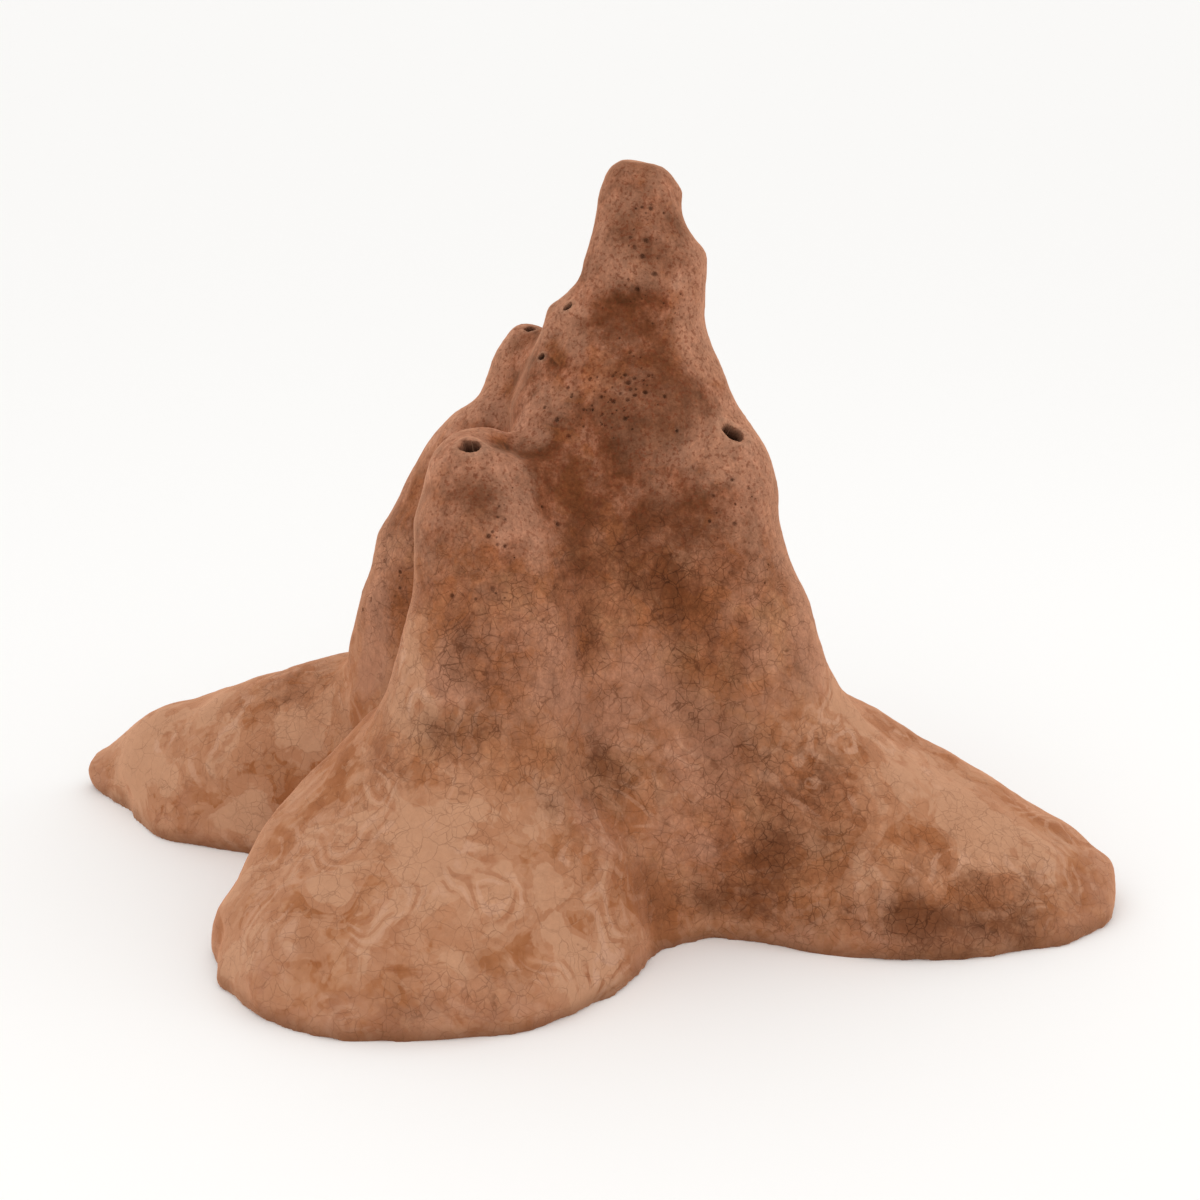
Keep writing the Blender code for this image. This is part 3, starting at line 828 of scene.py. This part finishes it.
points = mesh_points(skin.data)
facing = mesh_normals(skin.data)
noise.seed_set(EDGE_WANDER_SEED)
wander = np.array([noise.noise_vector(Vector(place) / EDGE_WANDER_SIZE) for place in points])
wandered = points + EDGE_WANDER * wander


def spread(patches):
    cover = np.zeros(len(wandered))
    for patch in patches:
        across = np.hypot(wandered[:, 0] - patch.x, wandered[:, 1] - patch.y) / patch.wide
        up = (wandered[:, 2] - patch.z) / patch.tall
        cover = 1 - (1 - cover) * (1 - patch.share * np.exp(-across ** 2 - up ** 2))
    return cover


def store(name, values):
    """Puts one number on every vertex, for the material to read by name."""
    attribute = skin.data.attributes.new(name, "FLOAT", "POINT")
    attribute.data.foreach_set("value", values.astype(np.float32))
    print(name, "covers", round(float((values > HALF).mean()), 2), "of the points")


heights = points[:, 2]
leg_dust = LEG_DUST * soft_step(*LEG_DUST_FADES, heights)
slope_dust = leg_dust + FLAT_DUST * soft_step(*FLAT_DUST_GROWS, facing[:, 2])
brown_height = soft_step(*BROWN_HEIGHTS, heights)
dusty = spread(DUST_PATCHES)
# This mask holds damp stains and painted shade in the bays and the gaps between the columns.
store("damp_and_shade", spread(DAMP_AND_SHADE_PATCHES))
store("dust", 1 - (1 - dusty) * (1 - slope_dust))
# This mask holds rubbed places and painted highlights on the columns' edges.
store("pale", spread(PALE_AND_HIGHLIGHT_PATCHES))
store("brown", np.maximum(spread(BROWN_PATCHES), brown_height) * (1 - DUST_OVER_BROWN * dusty))
store("ruddy", soft_step(*RUDDY_HEIGHTS, heights + RUDDY_WANDER * wander[:, 0]))

# %% Where the columns are pocked with fine pores
PORES_REACH = 2.8

pocked = np.zeros(len(points))
for cluster in PIT_CLUSTERS:
    away = np.linalg.norm(points - np.array(cluster[:3]), axis=1) / (PORES_REACH * cluster.spread)
    pocked = np.maximum(pocked, np.exp(-away ** 2))
store("pocked", pocked)

# %% [markdown]
# ## The material: sun-baked, termite-cemented earth
#
# The soil is clay and sand bound with saliva, pressed by jaws and baked by the sun. That makes it dull
# and rough, with no gloss anywhere, and its colour varies at every scale. The material is built like a
# painting: ground tones first, then blotches, dust, damp, cracks and dark holes over them, with painted
# shade in the hollows, the holes and at the foot and painted highlights on the ridges, each layer with its
# own mask. Every pattern's scale is a real size, turned into Blender's noise scale, which counts repeats
# per metre.

# %% Start the material
earth = bpy.data.materials.new("sun_baked_termite_earth")
earth.use_nodes = True
tree = earth.node_tree
tree.nodes.clear()

COORDS = add_node(tree, "TexCoord", {}, {}).outputs["Object"]
# A Mix node has sockets of the same name for numbers and colours, so they are picked by their number.
MIX_SHARE, MIX_UNDER, MIX_OVER, MIX_COLOUR = 0, 6, 7, 2
COLOUR_MIX = {"data_type": "RGBA"}
SOFT = {"interpolation_type": "SMOOTHSTEP"}
TIMES = {"operation": "MULTIPLY"}
TIMES_PLUS = {"operation": "MULTIPLY_ADD"}


def per_metre(size):
    """Noise scale for a pattern that repeats about every size metres."""
    return 1 / size


masks = {}
for name in ("brown", "ruddy", "dust", "pale", "damp_and_shade", "hollow", "pocked", "sunk_shade", "lip"):
    masks[name] = add_node(tree, "Attribute", {"attribute_name": name}, {}).outputs["Fac"]
print("masks read from the skin:", ", ".join(masks))

# %% Coordinates that wander
SWIRL_SIZE = 230 * MM
SWIRL_REACH = 120 * MM
RAGGED_SIZE = 38 * MM
RAGGED_REACH = 26 * MM

swirl_noise = add_node(tree, "TexNoise", {},
                       {"Vector": COORDS, "Scale": per_metre(SWIRL_SIZE), "Detail": 2.0})
SWIRLED = add_node(tree, "VectorMath", TIMES_PLUS,
                   {0: swirl_noise.outputs["Color"], 1: (SWIRL_REACH,) * 3, 2: COORDS})
ragged_noise = add_node(tree, "TexNoise", {},
                        {"Vector": COORDS, "Scale": per_metre(RAGGED_SIZE), "Detail": 3.0})
RAGGED = add_node(tree, "VectorMath", TIMES_PLUS,
                  {0: ragged_noise.outputs["Color"], 1: (RAGGED_REACH,) * 3, 2: COORDS})
print("patterns swirl by up to", round(SWIRL_REACH / MM), "mm")

# %% [markdown]
# ### Ground tones
#
# On the legs the earth is tan, between them it is browner, and high up it is redder and darker with
# tighter mottling, because the columns are fresh building that the rain hasn't bleached. A colour ramp
# turns each noise into tones, and the masks stored on the skin blend one ground into the next.

# %% Three ground tones
LEG_TONES = [(0.38, "945C3A"), (0.45, "9F6642"), (0.49, "A56D4A"), (0.53, "AF7A58"), (0.62, "B88768")]
BROWN_TONES = [(0.38, "6C3F27"), (0.46, "865338"), (0.54, "976244"), (0.64, "A67352")]
RUDDY_TONES = [(0.39, "56301B"), (0.46, "724129"), (0.51, "875137"), (0.56, "9B6349"), (0.64, "B07C62")]
GROUNDS = [
    (LEG_TONES, 200 * MM, 4.0, SWIRLED),
    (BROWN_TONES, 150 * MM, 10.0, COORDS),
    (RUDDY_TONES, 130 * MM, 11.0, COORDS),
]

grounds = []
for tones, size, detail, where in GROUNDS:
    clouds = add_node(tree, "TexNoise", {},
                      {"Vector": where, "Scale": per_metre(size), "Detail": detail, "Roughness": 0.66})
    ramp = add_node(tree, "ValToRGB", {}, {"Fac": clouds})
    stops = ramp.color_ramp.elements
    while len(stops) < len(tones):
        stops.new(1.0)
    for stop, (position, tone) in zip(stops, tones):
        stop.position = position
        stop.color = earth_colour(tone)
    grounds.append(ramp)

low_ground = add_node(tree, "Mix", COLOUR_MIX,
                      {MIX_SHARE: masks["brown"], MIX_UNDER: grounds[0], MIX_OVER: grounds[1]})
ground = add_node(tree, "Mix", COLOUR_MIX,
                  {MIX_SHARE: masks["ruddy"], MIX_UNDER: low_ground.outputs[MIX_COLOUR],
                   MIX_OVER: grounds[2]})
print("ground tones:", sum(len(tones) for tones, size, detail, where in GROUNDS))

# %% [markdown]
# ### Blotches and dust
#
# Wet earth dries in patches with crisp, curling edges: terracotta where the surface has worn off, pale
# where dust was wetted and dried again. Each is a warped noise cut off by a narrow step. The dust mask
# from the skin is added first, so that it decides where the pale patches grow together. Little dust lies
# on the brown ground. Each dust step says at what sum the patches, and then their paler cores, begin and
# are full.

# %% Terracotta blotches
BLOTCH_SIZE = 130 * MM

blotch_noise = add_node(tree, "TexNoise", {},
                        {"Vector": SWIRLED, "Scale": per_metre(BLOTCH_SIZE), "Detail": 4.0, "Roughness": 0.5,
                         "Distortion": 0.8})
blotch_mask = add_node(tree, "MapRange", SOFT, {"Value": blotch_noise, "From Min": 0.53, "From Max": 0.56})
print("blotches about", round(BLOTCH_SIZE / MM), "mm wide")

# %% Dust patches
DUST_CLOUD_SIZE = 180 * MM
DUST_NOISE_WEIGHT = 1.6
DUST_ON_BROWN = 0.25
DUST_STEPS = ((1.18, 1.23), (1.36, 1.42))

dust_noise = add_node(tree, "TexNoise", {},
                      {"Vector": SWIRLED, "Scale": per_metre(DUST_CLOUD_SIZE), "Detail": 4.0,
                       "Roughness": 0.52, "Distortion": 0.8})
dust_sum = add_node(tree, "Math", TIMES_PLUS, {0: dust_noise, 1: DUST_NOISE_WEIGHT, 2: masks["dust"]})
bare_share = add_node(tree, "MapRange", {}, {"Value": masks["brown"], "To Min": 1.0, "To Max": DUST_ON_BROWN})
dust_masks = []
for start, full in DUST_STEPS:
    dust_step = add_node(tree, "MapRange", SOFT, {"Value": dust_sum, "From Min": start, "From Max": full})
    dust_masks.append(add_node(tree, "Math", TIMES, {0: dust_step, 1: bare_share}))
print("dust patches about", round(DUST_CLOUD_SIZE / MM), "mm wide")

# %% Small flakes of dust
FLAKE_SIZE = 55 * MM
FLAKE_DUST_WEIGHT = 0.25

flake_noise = add_node(tree, "TexNoise", {},
                       {"Vector": SWIRLED, "Scale": per_metre(FLAKE_SIZE), "Detail": 3.0, "Distortion": 0.7})
flake_sum = add_node(tree, "Math", TIMES_PLUS, {0: masks["dust"], 1: FLAKE_DUST_WEIGHT, 2: flake_noise})
flake_step = add_node(tree, "MapRange", SOFT, {"Value": flake_sum, "From Min": 0.655, "From Max": 0.685})
flake_mask = add_node(tree, "Math", TIMES, {0: flake_step, 1: bare_share})
print("flakes about", round(FLAKE_SIZE / MM), "mm wide")

# %% Rubbed pale places and painted highlights on the ridges
PALE_CLOUD_SIZE = 60 * MM
PALE_NOISE_WEIGHT = 1.5
HIGHLIGHT_ON_RIDGES = 0.55

# The ridges get a painted highlight, paler the more they stand out from their surroundings.
ridge_highlight_share = add_node(tree, "MapRange", SOFT,
                       {"Value": masks["hollow"], "From Min": -0.2, "From Max": -1.6,
                        "To Max": HIGHLIGHT_ON_RIDGES})
pale_or_ridge_highlight = add_node(tree, "Math", {"operation": "ADD"}, {0: masks["pale"], 1: ridge_highlight_share})
pale_noise = add_node(tree, "TexNoise", {},
                      {"Vector": COORDS, "Scale": per_metre(PALE_CLOUD_SIZE), "Detail": 8.0,
                       "Roughness": 0.7})
pale_and_highlight_sum = add_node(tree, "Math", TIMES_PLUS, {0: pale_noise, 1: PALE_NOISE_WEIGHT, 2: pale_or_ridge_highlight})
pale_and_highlight_mask = add_node(tree, "MapRange", SOFT, {"Value": pale_and_highlight_sum, "From Min": 0.85, "From Max": 1.55})
print("rubbed places fray at", round(PALE_CLOUD_SIZE / MM), "mm")

# %% [markdown]
# Where a muddy puddle dries, it leaves line after line along its shrinking edge. Folding a slow noise back
# and forth over a short step draws such lines. The tops of the folds are pale, the bottoms are bare.

# %% Tide lines of dried mud
TIDE_SIZE = 230 * MM
TIDE_STEP = 0.050
TIDE_FRAY = 0.05
TIDE_CLOUD_SIZE = 210 * MM
TIDE_BANDS = ((0.60, 0.78), (0.36, 0.20))

tide_noise = add_node(tree, "TexNoise", {},
                      {"Vector": SWIRLED, "Scale": per_metre(TIDE_SIZE), "Detail": 1.0, "Distortion": 0.3})
tide_frayed = add_node(tree, "Math", TIMES_PLUS, {0: ragged_noise, 1: TIDE_FRAY, 2: tide_noise})
tide_bands = add_node(tree, "Math", {"operation": "PINGPONG"}, {0: tide_frayed, 1: TIDE_STEP})
tide_cloud = add_node(tree, "TexNoise", {},
                      {"Vector": COORDS, "Scale": per_metre(TIDE_CLOUD_SIZE), "Detail": 3.0})
tide_place = add_node(tree, "MapRange", SOFT, {"Value": tide_cloud, "From Min": 0.50, "From Max": 0.57})
tide_break = add_node(tree, "MapRange", SOFT, {"Value": ragged_noise, "From Min": 0.34, "From Max": 0.48})
tide_piece = add_node(tree, "Math", TIMES, {0: tide_place, 1: tide_break})
tide_masks = []
for start, full in TIDE_BANDS:
    band = add_node(tree, "MapRange", SOFT,
                    {"Value": tide_bands, "From Min": start * TIDE_STEP, "From Max": full * TIDE_STEP})
    placed = add_node(tree, "Math", TIMES, {0: band, 1: tide_piece})
    tide_masks.append(add_node(tree, "Math", TIMES, {0: placed, 1: masks["dust"]}))
print("tide lines: pale and bare bands, in clouds of", round(TIDE_CLOUD_SIZE / MM), "mm")

# %% [markdown]
# ### Damp stains and painted shade in the hollows
#
# Damp has no edge: it soaks in. Its mask is the damp stains of the skin plus painted shade in the
# hollows, with a cloudy noise added before it is cut off softly. Over it go dark specks, which crowd
# together where the damp and the painted shade are strongest, so that a stain is grainy all through
# and breaks up at its border.

# %% Damp and painted shade mask
DAMP_CLOUD_SIZE = 120 * MM
DAMP_NOISE_WEIGHT = 1.8
SHADE_IN_HOLLOWS = 0.5

# Painted shade in the hollows, darker the deeper the hollow.
hollow_shade_share = add_node(tree, "MapRange", SOFT,
                        {"Value": masks["hollow"], "From Min": 0.0, "From Max": 1.6,
                         "To Max": SHADE_IN_HOLLOWS})
damp_or_shaded = add_node(tree, "Math", {"operation": "ADD"}, {0: masks["damp_and_shade"], 1: hollow_shade_share})
damp_noise = add_node(tree, "TexNoise", {},
                      {"Vector": COORDS, "Scale": per_metre(DAMP_CLOUD_SIZE), "Detail": 9.0,
                       "Roughness": 0.70})
damp_and_shade_sum = add_node(tree, "Math", TIMES_PLUS, {0: damp_noise, 1: DAMP_NOISE_WEIGHT, 2: damp_or_shaded})
damp_and_shade_mask = add_node(tree, "MapRange", SOFT, {"Value": damp_and_shade_sum, "From Min": 0.90, "From Max": 2.10})

SPECK_SIZE = 20 * MM
SPECK_DAMP_AND_SHADE_WEIGHT = 0.32

speck_noise = add_node(tree, "TexNoise", {},
                       {"Vector": COORDS, "Scale": per_metre(SPECK_SIZE), "Detail": 5.0, "Roughness": 0.7})
speck_sum = add_node(tree, "Math", TIMES_PLUS, {0: damp_and_shade_mask, 1: SPECK_DAMP_AND_SHADE_WEIGHT, 2: speck_noise})
speck_mask = add_node(tree, "MapRange", SOFT, {"Value": speck_sum, "From Min": 0.62, "From Max": 0.80})
print("damp clouds about", round(DAMP_CLOUD_SIZE / MM), "mm wide, specks", round(SPECK_SIZE / MM), "mm")

# %% [markdown]
# ### Cracks
#
# Clay shrinks as it dries and breaks into cells, about 54 mm across here, with a finer net of 32 mm
# where the clouds, the brown ground and the damp places add up. A Voronoi texture that measures the
# distance to the nearest cell edge draws such a net. The ragged coordinates bend its straight edges, and
# cloudy masks let the net come and go. The real cracks are hairs. They are drawn nearly 2 mm wide to each
# side, or they would be lost at this distance. In damp earth and in the painted shade they are darker
# still, so they get a mask of their own.

# %% Crack masks
CRACK_NETS = [(54 * MM, 1.8 * MM, 0.39), (32 * MM, 1.4 * MM, 0.50)]
CRACK_CLOUD_SIZE = 160 * MM
CRACK_BREAK_SIZE = 45 * MM
CRACK_BROWN_WEIGHT = 0.14
CRACK_DAMP_AND_SHADE_WEIGHT = 0.20
CRACK_FADE = 0.10
FAINTEST_CRACK = 0.40
CRACKS_ON_COLUMNS = 0.10
CRACKS_OFF_BROWN = 0.60

crack_cloud = add_node(tree, "TexNoise", {},
                       {"Vector": COORDS, "Scale": per_metre(CRACK_CLOUD_SIZE), "Detail": 4.0})
crack_brown = add_node(tree, "Math", TIMES_PLUS, {0: masks["brown"], 1: CRACK_BROWN_WEIGHT, 2: crack_cloud})
crack_place = add_node(tree, "Math", TIMES_PLUS, {0: masks["damp_and_shade"], 1: CRACK_DAMP_AND_SHADE_WEIGHT, 2: crack_brown})
crack_break = add_node(tree, "TexNoise", {},
                       {"Vector": COORDS, "Scale": per_metre(CRACK_BREAK_SIZE), "Detail": 2.0})
crack_strength = add_node(tree, "MapRange", SOFT,
                          {"Value": crack_break, "From Min": 0.35, "From Max": 0.62, "To Min": FAINTEST_CRACK,
                           "To Max": 1.0})
crack_masks = []
for cell, width, threshold in CRACK_NETS:
    net = add_node(tree, "TexVoronoi", {"feature": "DISTANCE_TO_EDGE"},
                   {"Vector": RAGGED, "Scale": per_metre(cell)})
    line = add_node(tree, "MapRange", SOFT,
                    {"Value": net, "From Min": 0.0, "From Max": width / cell, "To Min": 1.0, "To Max": 0.0})
    patchy = add_node(tree, "MapRange", SOFT,
                      {"Value": crack_place, "From Min": threshold - CRACK_FADE,
                       "From Max": threshold + CRACK_FADE})
    crack_masks.append(add_node(tree, "Math", TIMES, {0: line, 1: patchy}))

both_nets = add_node(tree, "Math", {"operation": "MAXIMUM"}, {0: crack_masks[0], 1: crack_masks[1]})
below_columns = add_node(tree, "MapRange", SOFT,
                         {"Value": masks["ruddy"], "From Min": 0.2, "From Max": 1.0, "To Min": 1.0,
                          "To Max": CRACKS_ON_COLUMNS})
crack_low = add_node(tree, "Math", TIMES, {0: both_nets, 1: below_columns})
crack_broken = add_node(tree, "Math", TIMES, {0: crack_low, 1: crack_strength})
crack_by_ground = add_node(tree, "MapRange", {}, {"Value": masks["brown"], "To Min": CRACKS_OFF_BROWN})
crack_mask = add_node(tree, "Math", TIMES, {0: crack_broken, 1: crack_by_ground})
cracks_in_damp_and_shade = add_node(tree, "Math", TIMES, {0: crack_mask, 1: damp_and_shade_mask})
print("crack cells:", [round(cell / MM) for cell, width, threshold in CRACK_NETS], "mm")

# %% [markdown]
# ### Pores, and painted shade in the pits and at the foot
#
# Between the pits that are pressed into the mesh lie hundreds of pores too small to model. They are
# dots: the middle of some cells of a Voronoi texture, chosen by the random colour that each cell has.
# Fresh red specks lie among them on the high columns. Pits, mouths and shafts get painted shade inside,
# darker than the light alone makes them, and a band of painted shade runs round the foot.

# %% Pore, red speck and foot shade masks
PORE_CELL = 12 * MM
PORE_RADIUS = 2.6 * MM
PORE_CORE = 0.4
RED_SPECK_SIZE = 11 * MM
FOOT_HEIGHT = 60 * MM
FOOT_SHADE = 0.55

pores = add_node(tree, "TexVoronoi", {}, {"Vector": COORDS, "Scale": per_metre(PORE_CELL)})
pore_dot = add_node(tree, "MapRange", SOFT,
                    {"Value": pores, "From Min": PORE_CORE * PORE_RADIUS / PORE_CELL,
                     "From Max": PORE_RADIUS / PORE_CELL, "To Min": 1.0, "To Max": 0.0})
pore_pick = add_node(tree, "SeparateColor", {}, {"Color": pores.outputs["Color"]})
red_noise = add_node(tree, "TexNoise", {},
                     {"Vector": COORDS, "Scale": per_metre(RED_SPECK_SIZE), "Detail": 3.0, "Roughness": 0.6})
red_speck = add_node(tree, "MapRange", SOFT, {"Value": red_noise, "From Min": 0.53, "From Max": 0.62})
red_speck_mask = add_node(tree, "Math", TIMES, {0: red_speck, 1: masks["ruddy"]})
pore_kept = add_node(tree, "Math", {"operation": "LESS_THAN"},
                     {0: pore_pick.outputs["Red"], 1: masks["pocked"]})
pore_mask = add_node(tree, "Math", TIMES, {0: pore_dot, 1: pore_kept})
above_ground = add_node(tree, "SeparateXYZ", {}, {"Vector": COORDS})
# Painted shade, darker towards the ground over the lowest 60 mm.
foot_shade_mask = add_node(tree, "MapRange", SOFT,
                     {"Value": above_ground.outputs["Z"], "From Min": 0.0, "From Max": FOOT_HEIGHT,
                      "To Min": FOOT_SHADE, "To Max": 0.0})
print("pores:", round(2 * PORE_RADIUS / MM, 1), "mm wide")

# %% [markdown]
# ### Lay the layers over the ground
#
# With every mask ready, painting is one loop: each layer mixes its colour over what lies under it, by
# its mask times its strength.

# %% Paint the layers
EARTH_LAYERS = [
    ("blotches", blotch_mask, "935732", 0.44),
    # Rubbed pale places, and painted highlights on the ridges and the columns' edges.
    ("pale_rubbed_and_highlight", pale_and_highlight_mask, "B17F65", 0.68),
    ("dust_patch", dust_masks[0], "B27F60", 0.72),
    ("dust_core", dust_masks[1], "C19374", 0.62),
    ("pale_flakes", flake_mask, "BE8F70", 0.28),
    ("pale_tide_lines", tide_masks[0], "C3967B", 0.90),
    ("bare_tide_lines", tide_masks[1], "9A6040", 0.72),
    # Damp stains, and painted shade in the hollows, the bays and the gaps between the columns.
    ("damp_and_shade", damp_and_shade_mask, "5C341B", 0.70),
    # Dark specks, crowded where the damp and the painted shade are strongest.
    ("damp_and_shade_specks", speck_mask, "5C2E18", 0.34),
    ("red_specks", red_speck_mask, "6A331D", 0.55),
    ("cracks", crack_mask, "552C17", 0.54),
    # Cracks darkened further in the damp and the painted shade.
    ("cracks_in_damp_and_shade", cracks_in_damp_and_shade, "351C10", 0.65),
    ("pores", pore_mask, "5A2A17", 0.50),
    ("lip", masks["lip"], "A9846C", 0.30),
    # Painted shade in a band round the foot.
    ("foot", foot_shade_mask, "5E3A22", 1.0),
    # Painted shade inside the pits, mouths and shafts.
    ("sunk_shade", masks["sunk_shade"], "331B0F", 0.75),
]
painted = ground.outputs[MIX_COLOUR]
for name, mask, tone, strength in EARTH_LAYERS:
    share = add_node(tree, "Math", {**TIMES, "use_clamp": True}, {0: mask, 1: strength})
    layer = add_node(tree, "Mix", {**COLOUR_MIX, "label": name},
                     {MIX_SHARE: share, MIX_UNDER: painted, MIX_OVER: earth_colour(tone)})
    painted = layer.outputs[MIX_COLOUR]
print("painted", len(EARTH_LAYERS), "layers")

# %% [markdown]
# ### Mottling and grain
#
# Between the layers' forms and the single grains lies a mottling of about 25 mm, where each mouthful
# of soil dried a little differently, and faint streaks where rain has run down. All three only make what
# lies under them lighter or darker, and the dusty legs show less of them.

# %% Mottling and grain over everything
Fine = namedtuple("Fine", "name size stretch swing")

FINE_LAYERS = [
    Fine("mottling", 26 * MM, (1, 1, 1), 0.19),
    Fine("rain streaks", 34 * MM, (1, 1, 0.3), 0.12),
    Fine("grain", 8 * MM, (1, 1, 1), 0.20),
]
LEG_SHARE = 0.15
NOISE_MIDDLE = (0.3, 0.7)

swing_share = add_node(tree, "MapRange", {}, {"Value": masks["brown"], "To Min": LEG_SHARE})
shaded = painted
fine_noises = {}
for fine in FINE_LAYERS:
    stretched = add_node(tree, "Mapping", {}, {"Vector": COORDS, "Scale": fine.stretch})
    fine_noise = add_node(tree, "TexNoise", {},
                          {"Vector": stretched, "Scale": per_metre(fine.size), "Detail": 4.0,
                           "Roughness": 0.7})
    swing = add_node(tree, "MapRange", {},
                     {"Value": fine_noise, "From Min": NOISE_MIDDLE[0], "From Max": NOISE_MIDDLE[1],
                      "To Min": -fine.swing, "To Max": fine.swing})
    tone = add_node(tree, "Math", TIMES_PLUS, {0: swing, 1: swing_share, 2: 1.0})
    shaded = add_node(tree, "VectorMath", {"operation": "SCALE"}, {0: shaded, "Scale": tone})
    fine_noises[fine.name] = fine_noise
print("fine layers:", {fine.name: round(fine.size / MM) for fine in FINE_LAYERS}, "mm")

# %% [markdown]
# ### Height for the light to catch
#
# Cracks and grain are too fine to model, so they are given to the shader as height. Two bump nodes in a
# row let the grain stay faint while the cracks cut in. The surface is very rough and has almost no gloss.
# Its sheen is the velvety brightening at the edges that any dusty thing shows.

# %% Bump and the shader
CRACK_DEPTH = 2 * MM
GRAIN_DEPTH = 1.2 * MM

crack_bump = add_node(tree, "Bump", {"invert": True},
                      {"Height": crack_mask, "Distance": CRACK_DEPTH, "Strength": 0.4})
grain_bump = add_node(tree, "Bump", {},
                      {"Height": fine_noises["grain"], "Distance": GRAIN_DEPTH, "Strength": 0.5,
                       "Normal": crack_bump})
surface = add_node(tree, "BsdfPrincipled", {},
                   {"Base Color": shaded, "Roughness": 0.95, "Specular IOR Level": 0.05, "Sheen Weight": 0.9,
                    "Sheen Roughness": 0.38, "Sheen Tint": earth_colour("E0A988"), "Normal": grain_bump})
add_node(tree, "OutputMaterial", {}, {"Surface": surface})
skin.data.materials.clear()
skin.data.materials.append(earth)
print("material nodes:", len(tree.nodes))

# %% [markdown]
# ## The floor and the frame
#
# A wide pale floor carries the mound and throws light up under its edges. Then the skin is tied to the
# frame: it rides on the root body and takes the place of the solid mound, which is hidden.

# %% Floor
FLOOR_SIZE = 400.0

bm = bmesh.new()
bmesh.ops.create_grid(bm, x_segments=1, y_segments=1, size=FLOOR_SIZE / 2)
floor = bpy.data.objects.new("floor", bpy.data.meshes.new("floor"))
bm.to_mesh(floor.data)
bm.free()
bpy.context.scene.collection.objects.link(floor)

plaster = bpy.data.materials.new("matt_white_floor_paint")
plaster.use_nodes = True
plaster_shader = plaster.node_tree.nodes["Principled BSDF"]
plaster_shader.inputs["Base Color"].default_value = earth_colour("FAF9F7")
plaster_shader.inputs["Roughness"].default_value = 0.95
plaster_shader.inputs["Specular IOR Level"].default_value = 0.1
floor.data.materials.append(plaster)
print("floor:", FLOOR_SIZE, "m square")

# %% Tie the skin to the frame
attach(skin, "root")
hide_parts("termite_mound")
print("solid box:", [[round(v, 3) for v in corner] for corner in cad_box])
